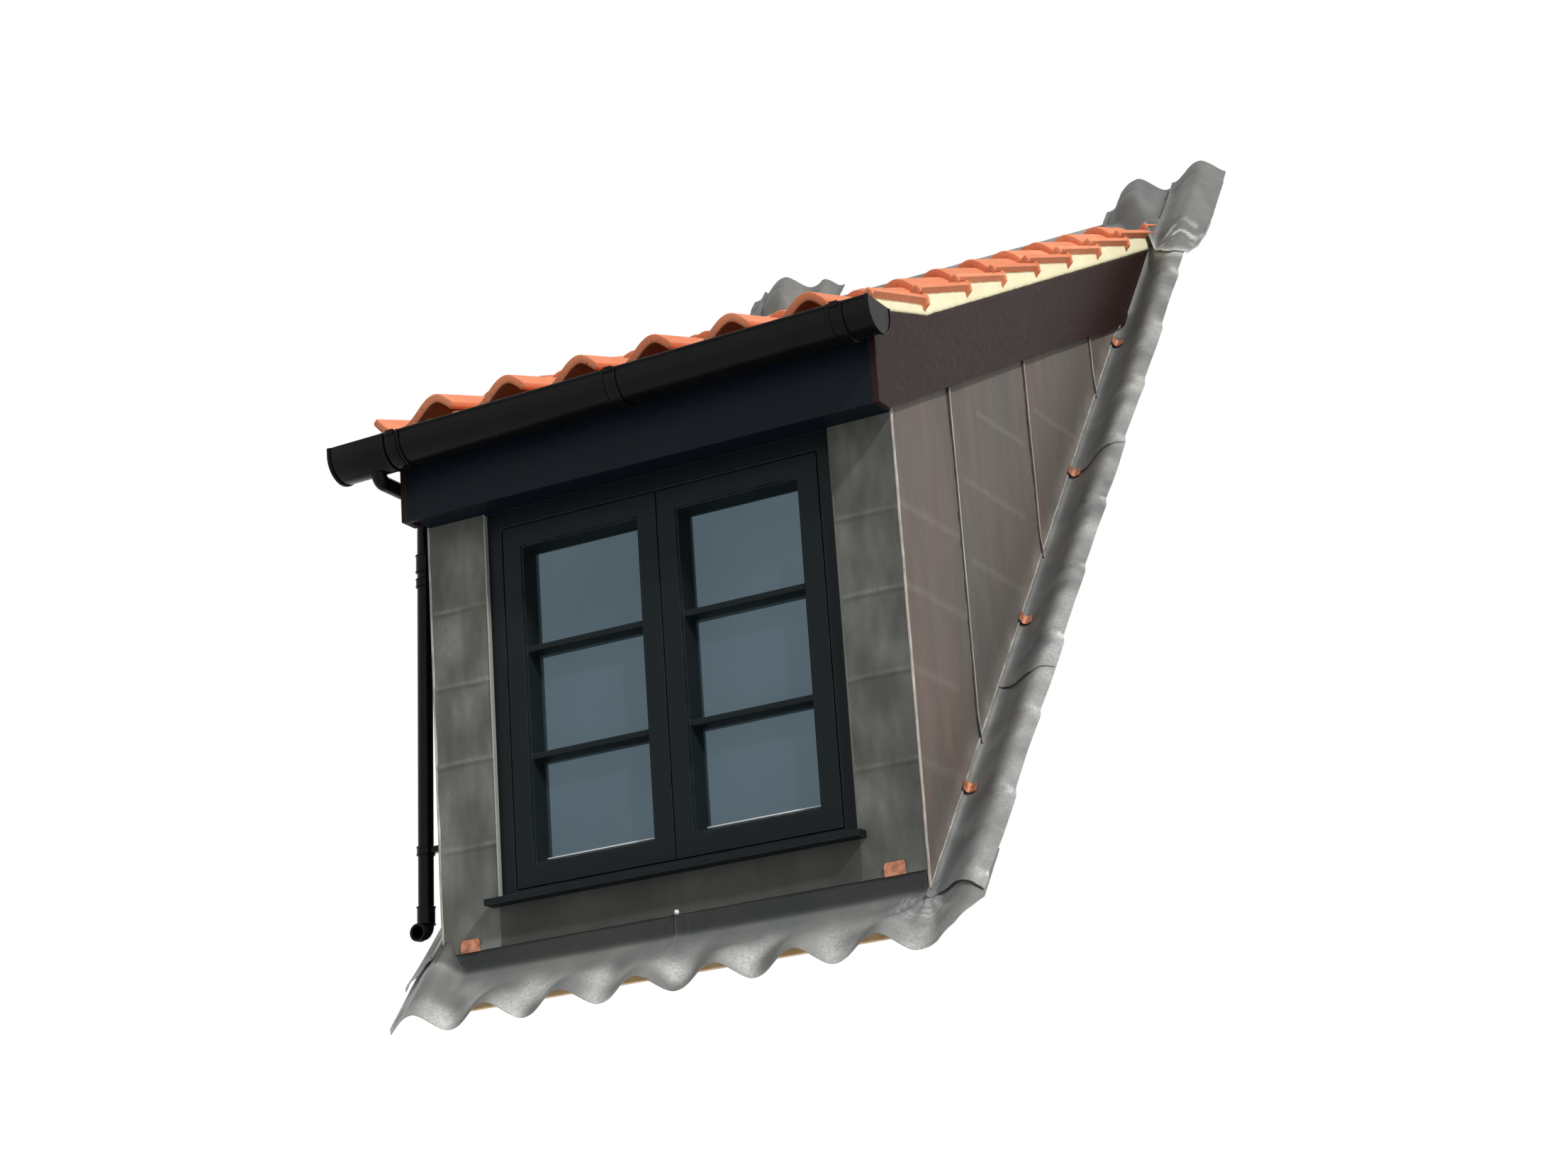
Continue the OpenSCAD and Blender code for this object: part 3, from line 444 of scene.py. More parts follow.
# %% Camera, floor and light
STANDPOINT = Vector((3.639, -6.498, -1.483))
PHOTO_RIGHT = Vector((0.78500476, 0.61925828, -0.0169324))
PHOTO_DOWN = Vector((-0.16985085, 0.18886573, -0.96720237))
PHOTO_AHEAD = Vector((-0.59575013, 0.76213445, 0.25344204))
PHOTO_FOCUS, AIM_RIGHT, AIM_DOWN = 1675.18, 306, -105.5
TO_SUN = Vector((2.19, -1.0, 1.97))
FLOOR_Z = -3.18
stage_set = bpy.context.scene
aim = PHOTO_AHEAD * PHOTO_FOCUS + PHOTO_RIGHT * AIM_RIGHT + PHOTO_DOWN * AIM_DOWN
turn = PHOTO_AHEAD.rotation_difference(aim)
axes = Matrix((turn @ PHOTO_RIGHT, turn @ -PHOTO_DOWN, turn @ -PHOTO_AHEAD)).transposed()
lens = bpy.data.cameras.new("camera")
lens.sensor_width, lens.lens = 36, 72
camera = bpy.data.objects.new("camera", lens)
camera.matrix_world = Matrix.Translation(STANDPOINT) @ axes.to_4x4()
stage_set.camera = camera
sun = bpy.data.lights.new("sun", "SUN")
sun.energy, sun.angle = 2.6, radians(4)
lamp = bpy.data.objects.new("sun", sun)
lamp.rotation_euler = TO_SUN.to_track_quat("Z", "Y").to_euler()
for thing in (camera, lamp):
    stage_set.collection.objects.link(thing)

floor = new_shape("floor", bpy.ops.mesh.primitive_plane_add, size=30, location=(0, 2, FLOOR_Z))
floor.data.materials.append(new_finish("pale_floor", 0.9, Base_Color=(0.82, 0.82, 0.81, 1))[0])

world = bpy.data.worlds.new("studio")
stage_set.world = world
world.use_nodes = True
sky = world.node_tree
sky.nodes.clear()
path = add_node(sky, "ShaderNodeLightPath").outputs
direct = math_node(sky, "MAXIMUM", path["Is Camera Ray"], path["Is Glossy Ray"])
direct = math_node(sky, "MAXIMUM", direct, path["Is Transmission Ray"])
fill = add_node(sky, "ShaderNodeBackground", {"Color": (0.93, 0.96, 1.0, 1), "Strength": 0.5})
seen = add_node(sky, "ShaderNodeBackground", {"Color": (1, 1, 1, 1), "Strength": 1.0})
either = add_node(sky, "ShaderNodeMixShader", {0: direct, 1: fill.outputs[0], 2: seen.outputs[0]})
add_node(sky, "ShaderNodeOutputWorld", {"Surface": either.outputs[0]})
stage_set.view_settings.view_transform = "Standard"
print("camera aims along", brief(turn @ PHOTO_AHEAD))

# %% [markdown]
# Sheet lead starts bright, dulls to a blue-grey within weeks and then turns brown or dark in
# patches where rain runs over it. Where it was beaten over the tiles it is rubbed bright again,
# most along its folds and edges. So lead is one recipe with a few amounts of warmth and shine, and
# each sheet carries a number on its points which says how bright it is rubbed there and where a
# highlight is painted on; a number below zero darkens it, as grime in a crease and as painted shade.

# %% Lead
GRIME_AND_SHADE = (26, 28, 27)


def make_lead(name, dull, dark, warm, bright, dent, streak, warmth):
    finish, tree, shader = new_finish(name, 0.5, 0.18, 0.12)
    soft = use_group(tree, blotches, size=0.22, stretch=streak)
    small = use_group(tree, blotches, size=0.05, stretch=streak)
    rub_and_painted_light = add_node(tree, "ShaderNodeAttribute", attribute_name="rub_and_painted_light").outputs["Fac"]
    rubbed_and_painted_light = math_node(tree, "MULTIPLY", rub_and_painted_light, plus(tree, 0.45, small["Fine"], 0.75), True)
    edge = use_group(tree, worn_edges, width=0.003, amount=0.35)["Mask"]
    shine = math_node(tree, "MAXIMUM", rubbed_and_painted_light, edge)
    # Below zero the number darkens the lead towards near-black: grime in creases, and painted shade on
    # sheets that lie in shadow.
    grime_and_shade = math_node(tree, "MULTIPLY", rub_and_painted_light, -1.0, True)
    tone = layered(tree, dull, (soft["Mask"], warm, warmth), (small["Mask"], dark, 0.28),
        (small["Fine"], dark, 0.18), (grime_and_shade, GRIME_AND_SHADE, 1), (shine, bright, 1))
    link_finish(tree, shader, tone, small["Mask"], 0.4, dent, plus(tree, 0.6, shine, -0.2))
    return finish


lead = make_lead("lead", (96, 97, 91), (64, 66, 62), (105, 103, 96), (150, 150, 144), 0.0010,
    (1, 1, 0.5), 0.5)
lead_cheek = make_lead("lead_cheek", (98, 95, 90), (72, 70, 66), (115, 99, 91), (190, 184, 174),
    0.0008, (1, 1, 0.2), 0.9)
lead_bright = make_lead("lead_bright", (128, 126, 120), (88, 91, 92), (104, 107, 107),
    (202, 201, 196), 0.0012, (1, 1, 1), 0.8)

# %% [markdown]
# The tiles are new machine-pressed clay: orange, a little paler on some and pinker on others, with
# faint drag marks along their length, fine grit and a few dark specks. Each tile carries its own
# number from 0 to 1, called tone, and the material shifts its colour by it.

# %% Clay
clay, tree, shader = new_finish("clay", 0.7, 0.2)
own = add_node(tree, "ShaderNodeAttribute", attribute_name="tone").outputs["Fac"]
soft = use_group(tree, blotches, size=0.09)
drag = use_group(tree, grain, along=(60, 2, 2), scale=3.0)["Mask"]
specks = ramp(tree, soft["Fine"], 0.82, 0.97)
grit = use_group(tree, blotches, size=0.006)["Mask"]
edge = use_group(tree, worn_edges, width=0.003, amount=0.6)["Mask"]
tone = layered(tree, (214, 122, 84), (own, (236, 150, 108), 1), (soft["Mask"], (206, 112, 76), 0.45),
    (drag, (242, 174, 134), 0.22), (specks, (126, 74, 52), 0.6), (edge, (248, 186, 150), 1))
link_finish(tree, shader, tone, plus(tree, grit, drag, 0.6), 0.35, 0.0008)

# %% [markdown]
# Fresh bedding mortar is a warm cream, rough with sand, and darker where it is still damp.

# %% Mortar
mortar, tree, shader = new_finish("mortar", 0.95, 0.1)
damp = use_group(tree, blotches, size=0.11)
sand = use_group(tree, blotches, size=0.004)
tone = layered(tree, (253, 246, 208), (damp["Mask"], (242, 229, 184), 0.5),
    (sand["Fine"], (192, 172, 128), 0.25))
link_finish(tree, shader, tone, math_node(tree, "ADD", sand["Mask"], damp["Fine"]), 0.5, 0.0010)

# %% [markdown]
# The joinery is painted almost black with a slight sheen. A brush leaves faint streaks along each
# board, and the paint thins a little on sharp edges.

# %% Paint
def make_paint(name, body, worn, roughness, along, streaks=0.3, sheen=0.12):
    finish, tree, shader = new_finish(name, roughness, sheen)
    brush = use_group(tree, grain, along=along, scale=5.0)["Mask"]
    dust = use_group(tree, blotches, size=0.14)
    edge = use_group(tree, worn_edges, width=0.0025, amount=0.5)["Mask"]
    lighter = tuple(v * 1.5 + 0.0015 for v in colour(body)[:3]) + (1,)
    tone = layered(tree, body, (brush, lighter, streaks), (dust["Mask"], lighter, 0.25),
        (edge, worn, 1))
    rough = plus(tree, roughness - 0.06, dust["Fine"], 0.12)
    link_finish(tree, shader, tone, brush, 0.25, 0.0006, rough)
    return finish


window_paint = make_paint("window_paint", (15, 22, 24), (76, 84, 86), 0.4, (14, 14, 1))
rail_paint = make_paint("rail_paint", (15, 22, 24), (76, 84, 86), 0.4, (1, 14, 14))
fascia_paint = make_paint("fascia_paint", (8, 17, 25), (48, 54, 60), 0.45, (1, 14, 14))
barge_paint = make_paint("barge_paint", (36, 21, 18), (96, 78, 72), 0.5, (14, 1, 2))
white_paint = make_paint("white_paint", (236, 236, 232), (250, 250, 247), 0.4, (1, 14, 14), 0.1, 0.4)

# %% [markdown]
# The rainwater goods are black plastic, pulled through a die: glossy, with a hint of brown dust.

# %% Plastic
plastic, tree, shader = new_finish("gutter_plastic", 0.22, 0.12)
dust = use_group(tree, blotches, size=0.08)
tone = layered(tree, (7, 7, 8), (dust["Mask"], (24, 20, 18), 0.35))
link_finish(tree, shader, tone, dust["Fine"], 0.1, 0.0003, plus(tree, 0.18, dust["Fine"], 0.16))

# %% [markdown]
# A sealed glass unit shows a dim room through two panes that mirror the sky. A slightly blue body
# that is mostly mirror gives both, and no shadow falls across it, as none falls on a real pane.

# %% Glass
glass, tree, shader = new_finish("window_glass", 0.04, 0.4, 0.7, Coat_Weight=0.2,
    Coat_Roughness=0.03, Alpha=0.96)
haze = use_group(tree, blotches, size=0.7)["Mask"]
tone = layered(tree, (76, 95, 104), (haze, (86, 104, 113), 1))
tree.links.new(tone, shader.inputs["Base Color"])

# %% [markdown]
# Inside are sawn timber, plywood, plasterboard and fluffy insulation. They show through the open
# loft side. The copper clips outside have tarnished in patches.

# %% Timber, boards, insulation and copper
def make_wood(name, pale, dark, along, scale):
    finish, tree, shader = new_finish(name, 0.7)
    fibres = use_group(tree, grain, along=along, scale=scale)["Mask"]
    soft = use_group(tree, blotches, size=0.2)
    tone = layered(tree, pale, (fibres, dark, 1), (soft["Mask"], pale, 0.3))
    link_finish(tree, shader, tone, fibres, 0.4, 0.001)
    return finish


def make_matt(name, body, shade, size, roughness, depth, metallic=0.0):
    finish, tree, shader = new_finish(name, roughness, metallic=metallic)
    soft = use_group(tree, blotches, size=size)
    tone = layered(tree, body, (soft["Mask"], shade, 1))
    link_finish(tree, shader, tone, soft["Fine"], 0.5, depth)
    return finish


timber = make_wood("timber", (220, 188, 142), (186, 144, 96), (2, 1, 8), 5.0)
timber_across = make_wood("timber_across", (220, 188, 142), (186, 144, 96), (1, 12, 12), 4.0)
plywood = make_wood("plywood", (210, 178, 132), (176, 138, 94), (3, 1, 3), 7.0)
plaster = make_matt("plaster", (236, 234, 228), (226, 223, 216), 0.3, 0.9, 0.0006)
insulation = make_matt("insulation", (226, 210, 160), (204, 184, 128), 0.03, 0.95, 0.004)
copper = make_matt("copper", (214, 146, 112), (158, 100, 74), 0.02, 0.45, 0.0008, 0.4)
nail_steel = make_matt("nail_steel", (236, 236, 236), (206, 206, 206), 0.01, 0.3, 0.0002)

# %% [markdown]
# The parts that the CAD model already shapes well keep their solids. They get their finishes, and
# sharp arrises are eased with a Bevel modifier, as sandpaper or a plane would ease them.

# %% Finish the CAD parts
FINISHES = {
    "timber": timber, "plywood": plywood, "insulation": insulation, "plaster": plaster,
    "white_paint": white_paint, "window_paint": window_paint, "window_glass": glass,
    "clay_tile": clay, "mortar": mortar, "fascia_paint": fascia_paint, "barge_paint": barge_paint,
    "gutter_plastic": plastic, "lead": lead, "lead_bright": lead_bright, "copper": copper,
}
OWN = dict.fromkeys(("sill_plate", "front_rail", "front_lintel", "tile_battens"), timber_across)
OWN["window_sill"] = rail_paint
EASED = {
    "window_frame": 0.002, "window_sill": 0.003, "sash_left": 0.002, "sash_right": 0.002,
    "fascia": 0.0025, "soffit": 0.001, "bargeboard_left": 0.003, "bargeboard_right": 0.003,
    "window_board": 0.004, "sill_plate": 0.002, "front_rail": 0.002, "front_lintel": 0.002,
    "gutter_brackets": 0.0008,
}
slot_of = {part["node"]: part["material_slot"] for part in frame["record"]["subparts"]}
for name, part in frame["nodes"].items():
    part.data.materials.clear()
    part.data.materials.append(OWN.get(name, FINISHES[slot_of[name]]))
    if name in EASED:
        weld = part.modifiers.new("Weld", "WELD")
        weld.merge_threshold = 0.00002
        rounding = part.modifiers.new("Bevel", "BEVEL")
        rounding.width = EASED[name]
        rounding.segments = 2
        rounding.limit_method = "ANGLE"
        rounding.angle_limit = radians(40)
print(len(frame["nodes"]), "CAD parts finished,", len(EASED), "of them eased")

# %% [markdown]
# A pantile is an S in section: a trough to carry water and a roll that laps over the edge of its
# right-hand neighbour. It starts as a flat grid. Each column is lifted to the S curve and the sheet
# gets its thickness. Then the nose and the roll's edge are pulled down onto the tile below and
# beside, and all edges are rounded as the press leaves them. The tiles of the left verge have a
# second roll, and those of the right verge are sawn off beside it, so that the nib at their head,
# which hooks over the batten, shows in the cut.

# %% Model one tile
ROLL_EDGE, FLANGE_EDGE, LIP = 0.049, -0.175, 0.0085
ROLL_FALL, TROUGH_X = 0.098, -0.120
NIB_Y, NIB_DEPTH, HEAD_PROUD = 0.336, 0.016, 0.005
ROWS = [0, NOSE_LEN, 0.03, 0.08, 0.14, 0.2, 0.26, NIB_Y, TILE_LEN]


def tile_face(x):
    """Height of a tile's face over its trough, x from its crest."""
    if x > TROUGH_X:
        return half_wave(x / (ROLL_FALL if x > 0 else TROUGH_X))
    return 0.006 * smooth((TROUGH_X - x) / 0.050)


def tile_face_left(x):
    """The same with a second roll on the left."""
    start = FALL - TILE_COVER
    if x > start:
        return tile_face(x) * smooth((x - start) / 0.02)
    return half_wave((start - x) / FALL - 1)


def make_tile(name, left, right, face, columns):
    def lie(u, v):
        step = round(u * columns)
        x = left + (right - LIP - left) * step / (columns - 1) if step < columns else right
        return Vector((x, ROWS[round(v * (len(ROWS) - 1))], TILE_T + face(x)))

    tile = new_sheet(name, columns, len(ROWS) - 1, lie)
    add_modifier(tile, "SOLIDIFY", thickness=TILE_T, offset=-1.0)
    extrude(tile, lambda middle, normal: normal.z < -0.2
        and (middle.y < NOSE_LEN or right == ROLL_EDGE and middle.x > right - LIP),
        (0, 0, TILE_T - NOSE_T))
    if right < 0:
        extrude(tile, lambda middle, normal: normal.z < -0.2 and middle.y > NIB_Y, (0, 0, -NIB_DEPTH))
        extrude(tile, lambda middle, normal: normal.z > 0.2 and middle.y > NIB_Y, (0, 0, HEAD_PROUD))
    return soften(ease(tile, 0.0022, 50), 45)


plain_tile = make_tile("plain_tile", FLANGE_EDGE, ROLL_EDGE, tile_face, 22)
left_tile = make_tile("left_tile", EDGE_LEFT - TILE_CREST + 5 * TILE_COVER, ROLL_EDGE,
    tile_face_left, 24)
sawn_tile = make_tile("sawn_tile", FLANGE_EDGE, EDGE_RIGHT - TILE_CREST - TILE_COVER, tile_face, 12)
print("one tile is", brief(plain_tile.dimensions))

# %% [markdown]
# Nine courses of seven tiles are laid from the eaves up. Each course leans on the one below, and
# the eaves course is kicked up over the fascia. A real roof is never perfectly even, so each copy
# is shifted by a millimetre or so. The top course is cut where it runs under the lead of the head.

# %% Lay the tiles
CUT_N = 0.0385
rng = random.Random(11)
laid = []
for course, (nose, lift) in enumerate(zip(NOSES, LIFTS)):
    for place in range(-5, 2):
        source = {-5: left_tile, 1: sawn_tile}.get(place, plain_tile)
        tile = copy_of(source, f"tile_{course}_{place + 5}")
        slip = rng.uniform(-0.002, 0.002)
        skew = radians(rng.uniform(-0.2, 0.2))
        rest = lift + rng.uniform(0, 0.0012)
        tile.data.transform(
            Matrix.Translation((0, 0, BED_Z))
            @ Matrix.Rotation(DORMER_PITCH, 4, "X")
            @ Matrix.Translation((TILE_CREST + TILE_COVER * place, nose + slip, rest))
            @ Matrix.Rotation(-asin(lift / TILE_REST), 4, "X")
            @ Matrix.Rotation(skew, 4, "Z"))
        shade = rng.random()
        laid.append(mark(tile, lambda point: shade, "tone"))
for source in (plain_tile, left_tile, sawn_tile):
    bpy.data.objects.remove(source)
pantiles = edit_all(join("pantiles", laid), bpy.ops.mesh.bisect, use_fill=True, clear_outer=True,
    plane_co=on_main_roof(0, 0, CUT_N), plane_no=on_main_roof(0, 0, -1))
fit(soften(pantiles, 45), clay, "clay_tile", "pantile_courses")

# %% [markdown]
# The verge is bedded in mortar, trowelled flush with the bargeboard and still rough from the
# trowel. The CAD solid has its outline, so a copy of it is remeshed evenly and its skin is pushed
# in and out a little with a clouds texture.

# %% Rough up the mortar
rough_bed = copy_of(frame["nodes"]["verge_mortar"], "mortar_bed")
rough_bed.parent = None
for key in list(rough_bed.keys()):
    del rough_bed[key]
edit_all(rough_bed, bpy.ops.mesh.remove_doubles, threshold=0.00001)
add_modifier(rough_bed, "REMESH", mode="VOXEL", voxel_size=0.0052)
clouds = bpy.data.textures.new("trowelled", "CLOUDS")
clouds.noise_scale, clouds.noise_depth = 0.03, 2
add_modifier(rough_bed, "DISPLACE", texture=clouds, strength=0.0026, mid_level=0.5,
    texture_coords="LOCAL")
fit(soften(rough_bed, 60), mortar, "mortar", "verge_mortar")

# %% [markdown]
# The lead on the front is two tall sheets beside the window and a low one under it. The plumber
# smoothed them with a flat dresser, which left a shallow crease at each lift. They are laid here
# as fine grids on the boarding, with those creases pressed out of the grid, and their lower edges
# hang a few millimetres proud of the apron's upstand.

# %% Lead on the front
JAMB_CREASES = (0.35, 0.571, 0.776, 0.977)


def crease(across, z, seed):
    """Height of the creases, which fade in and out across the sheet."""
    total = 0
    for number, level in enumerate(JAMB_CREASES):
        drift = 0.004 * unrest(across, number, 0.12, seed)
        strength = 0.6 + 0.4 * unrest(across, number * 3.7, 0.07, seed + 2)
        total += strength * hump(z, level + drift, 0.005)
    return total


def make_front_sheet(name, x0, x1, low, high, seed, creased):
    def lie(u, v):
        x, z = x0 + (x1 - x0) * u, low + (high - low) * v
        out = 0.0012 + 0.0014 * unrest(x, z, 0.16, seed) + 0.0022 * hump(z, low, 0.012)
        return Vector((x, FACE_Y - out - 0.0022 * creased * crease(x, z, seed), z))

    def rubbed_and_painted_light(p):
        patchy = 0.45 * unrest(p.x * 1.6, p.z, 0.14, seed + 5) + 0.2 * unrest(p.x * 3, p.z, 0.06, seed)
        # The under-sill sheet is painted dark all over, a painted shade from the sill above it.
        if not creased:
            return 0.35 * (patchy + 0.12 * (p.x < -FRAME_HALF)) - 0.5
        # Each crease is brightened along its line and painted darker 9 mm below it, a painted shade
        # under the ridge.
        crease_tone_and_shade = 0.42 * crease(p.x, p.z, seed) - 0.35 * crease(p.x, p.z + 0.009, seed)
        return patchy + crease_tone_and_shade + 0.12 * (p.x < -FRAME_HALF)

    return mark(thicken(new_sheet(name, 20, int((high - low) / 0.004), lie), 0.002), rubbed_and_painted_light)


jambs = []
for side, seed in ((-1, 3.1), (1, 8.4)):
    x0, x1 = sorted((side * FACE_HALF, side * (FRAME_HALF - 0.0015)))
    jambs.append(make_front_sheet(f"jamb_{side}", x0, x1, STEP_Z - 0.005, HEAD_Z - 0.001, seed, 1))
    x, y, top = side * (FRAME_HALF - 0.0008), FACE_Y - 0.0012, HEAD_Z - 0.002
    returned = new_block(f"return_{side}", (x - 0.0008, y, SILL_Z + 0.021),
        (x + 0.0008, FRAME_Y - 0.0003, top))
    edge = new_rod(f"reveal_edge_{side}", (side * FRAME_HALF, y, SILL_Z + 0.001),
        (side * FRAME_HALF, y, top), 0.0024, 12)
    # The left return and its edge get a painted highlight, as they face the light; the right ones are
    # painted a little darker, in shade.
    for piece in (ease(returned, 0.0005), soften(edge)):
        jambs.append(mark(piece, lambda p: 1.3 if side < 0 else -0.2))
fit(join("lead_jambs_dressed", jambs), lead, "lead", "lead_jambs")
under = make_front_sheet("under_sill_dressed", -FRAME_HALF - 0.003, FRAME_HALF + 0.003,
    STEP_Z - 0.004, SILL_Z + 0.0005, 5.5, 0)
fit(under, lead, "lead", "lead_under_sill")

# %% [markdown]
# The cheeks are wide sheets, joined by standing welts that are folded over and dressed down, and
# turned round the front corner in a roll. Sheet lead is soft enough to ripple between its fixings,
# so the grid bulges by a millimetre or two between the welts.

# %% Lead on the cheeks
WELTS = (0.277, 0.789, 1.301)
# a welt's height and half width, the corner roll, the hem's overrun, the fold over the tiles
WELT_PROUD, WELT_HALF, ROLL_R, HEM_PAST, FOLD_RISE = 0.0078, 0.0030, 0.0038, 0.088, 0.0145
CHEEK_TOP, BARGE_FOOT, FOLD_Z = 1.42833, 1.2573, 0.043
# height of each crease, and the y from and to which it runs
CHEEK_CREASES = ((0.347, -0.07, 0.2), (0.574, -0.07, 0.2), (0.777, -0.07, 0.27),
    (0.985, -0.07, 0.27), (0.94, 0.33, 0.7), (1.155, 0.33, 0.72), (1.37, 0.45, 0.76),
    (1.5, 0.85, 1.2))


def fold_height(side):
    return COVER + wave(side * FACE_HALF) + FOLD_RISE


def low_edge(side, y):
    """Height of the cheek's lower edge, just over its fold."""
    return tan(MAIN_PITCH) * y + fold_height(side) / cos(MAIN_PITCH)


def high_edge(start, y):
    return start + tan(DORMER_PITCH) * y


def cheek_crease(y, z):
    return sum(hump(z, level + 0.004 * unrest(y, level, 0.1, 3), 0.0045)
        for level, y0, y1 in CHEEK_CREASES if y0 < y < y1)


def new_roll(name, sides, rows, lie, rule):
    """A thin roll of lead, laid by lie(a, v) with the angle a round it."""
    roll = new_sheet(name, sides, rows, lambda u, v: lie(2 * pi * u, v))
    return mark(soften(outward(roll), 60), rule)


def make_cheek(side):
    rise = tan(MAIN_PITCH) - tan(DORMER_PITCH)
    y_end = (CHEEK_TOP - fold_height(side) / cos(MAIN_PITCH)) / rise - 0.004

    def lie(u, v):
        y = FACE_Y + 0.001 + (y_end - FACE_Y) * u
        low, high = low_edge(side, y), high_edge(CHEEK_TOP, y)
        z = low + (high - low) * v
        out = 0.0008 + 0.0016 * unrest(y, z, 0.19, side) + 0.0016 * cheek_crease(y, z)
        out += 0.0015 * hump(y, FACE_Y, 0.02)
        return Vector((side * (FACE_HALF + max(out, 0)), y, z))

    sheet = thicken(new_sheet(f"cheek_{side}", 160, 170, lie, side < 0), 0.002)
    parts = [mark(sheet, lambda p: 0.17 * cheek_crease(p.y, p.z)
        + 0.5 * hump(p.z, low_edge(side, p.y), 0.05) * (0.5 + 0.5 * unrest(p.y, p.z, 0.08, 4)))]
    for number, y in enumerate(WELTS):
        low, high = low_edge(side, y) + 0.002, high_edge(BARGE_FOOT, y) - 0.002

        def fold(u, v):
            a = pi * u
            z = low + (high - low) * v
            curl = 0.012 * smooth((low + 0.07 - z) / 0.07) + 0.0015 * unrest(z, number, 0.2, side)
            out = WELT_PROUD * sin(a) ** 0.6 + 0.0004
            lean = 0.0028 * sin(a) - WELT_HALF * cos(a)
            return Vector((side * (FACE_HALF + out), y + curl + lean, z))

        welt = thicken(new_sheet(f"welt_{side}_{number}", 10, 60, fold, side < 0), 0.0012)
        # The outer 2 mm of each welt is rubbed bright and painted as a highlight; the rest of the welt
        # is painted dark, a painted shadow along its flank.
        parts.append(mark(welt, lambda p: (1.5 + 0.4 * unrest(p.z, p.y, 0.12, 6))
            * smooth((abs(p.x) - FACE_HALF - 0.0058) / 0.0018) - 0.8))
    high = high_edge(BARGE_FOOT, FACE_Y) + 0.03

    def corner(a, v):
        z = FOLD_Z + (high - FOLD_Z) * v
        drift = 0.0012 * unrest(z, 0, 0.11, side + 7)
        return Vector((side * (FACE_HALF + 0.0002 + drift + ROLL_R * cos(a)),
            FACE_Y + 0.0005 + drift + ROLL_R * sin(a), z))

    def hem(a, v):
        s = FOLD_S + (SIDE_END[side] + HEM_PAST - FOLD_S) * v
        drift = 0.0014 * unrest(s, 0, 0.06, side + 3) + 0.001 * unrest(s, 2, 0.02, side)
        return on_main_roof(side * (FACE_HALF + 0.0012 + 0.0028 * cos(a)), s,
            fold_height(side) + drift + 0.0026 * sin(a))

    parts.append(new_roll(f"corner_{side}", 14, 160, corner, lambda p: 0.75
        + 0.25 * unrest(p.z, 1, 0.06, side) - 1.5 * smooth((p.y - FACE_Y - 0.001) / 0.002)))
    parts.append(new_roll(f"hem_{side}", 10, 320, hem, lambda p: 0.62
        + 0.5 * unrest(p.y, p.z, 0.05, side)))
    return join(f"lead_cheek_dressed_{HAND[side]}", parts)


for side, hand in HAND.items():
    fit(make_cheek(side), lead_cheek, "lead", f"lead_cheek_{hand}")

# %% [markdown]
# Lead flashing is beaten over the tiles of the main roof until it takes their shape: it rises over
# each roll and steps down past the nose of each course, where the dresser rubs it bright and a
# small highlight is painted on just below the nose. It comes in lengths of a metre or so, and each
# length laps over the one below. Every length is a grid laid point by point on those tiles, then
# given the sheet's thickness.

# %% How lead lies on the main roof
STEP, NOSE_SHARE, BOARD_EDGE = 0.010, 0.94, 0.685
# the three lengths of each side: the lower edge as x and s, the upper end, and how far the lower
# edge stands up
LOW_EDGES = {
    1: ((0.672, -0.060), (0.697, -0.034), (0.744, -0.044), (0.80, -0.081), (0.83, -0.098),
        (0.86, -0.105)),
    -1: ((0.672, -0.015), (0.70, -0.015), (0.73, -0.035), (0.767, -0.06), (0.80, -0.06)),
}
LAPS = (
    ((0.672, 0.764), (0.690, 0.761), (0.718, 0.747), (0.793, 0.712), (0.824, 0.726), (0.86, 0.752)),
    ((0.672, 1.745), (0.690, 1.741), (0.735, 1.718), (0.785, 1.732), (0.818, 1.740), (0.86, 1.785)),
)
LENGTH_ENDS = (0.87, 1.90)
LAP_LIFTS = (0.008, 0.0045, 0.0045)


def course_step(s):
    """How far the tiles stand over their mean plane at s: high at a nose, low at a head."""
    part = ((s - FIRST_MAIN_NOSE) / MAIN_GAUGE) % 1.0
    if part > NOSE_SHARE:
        return STEP * smooth((part - NOSE_SHARE) / (1 - NOSE_SHARE))
    return STEP * (1 - part / NOSE_SHARE)


def dressed(x, s, grip):
    """Height of lead on the main roof; grip is 0 on its board and 1 where it clings to tiles."""
    wobble = 0.0018 * unrest(x, s, 0.09, 1.7) + 0.0003 * unrest(x, s, 0.03, 4.2)
    return COVER + wave(x) + ROOM + wobble * (0.3 + 0.7 * grip) + course_step(s) * grip


def grip_at(x, outer):
    """Lead lies on its board beside the cheek and clings to the tiles towards its outer edge."""
    return smooth(((abs(x) - BOARD_EDGE) / (outer - BOARD_EDGE) - 0.4) / 0.4)


def below_nose(s, reach):
    """1 just below a nose of the main roof's tiles, and fading down the slope."""
    return exp(-((FIRST_MAIN_NOSE - s) % MAIN_GAUGE) / reach)


def lead_rub_and_glint(side):
    outer = SIDE_OUTER[side]

    def rule(point):
        s, x = place_on_main(point)[0], abs(point.x)
        patchy = 0.5 + 0.7 * unrest(point.x, s, 0.08, 9) + 0.2 * unrest(point.x, s, 0.025, 4)
        rim = smooth((x - outer + 0.075) / 0.05) * (0.55 + 0.35 * below_nose(s, 0.10)) * patchy
        # A small painted highlight sits just below each nose of the tiles, where the lead steps down;
        # its strength varies along the slope.
        glint_strength = 0.75 + 0.9 * unrest(s, side, 0.2, 14)
        glint = glint_strength * below_nose(s, 0.018) * smooth((x - outer + 0.026) / 0.02)
        gutter = 0.35 * hump(x, 0.70, 0.02) * (0.6 + 0.6 * unrest(x, s, 0.11, 21))
        return max(rim, glint, 0.26 * patchy) - gutter - 0.14 * smooth((s - 0.6) / 1.2)
    return rule


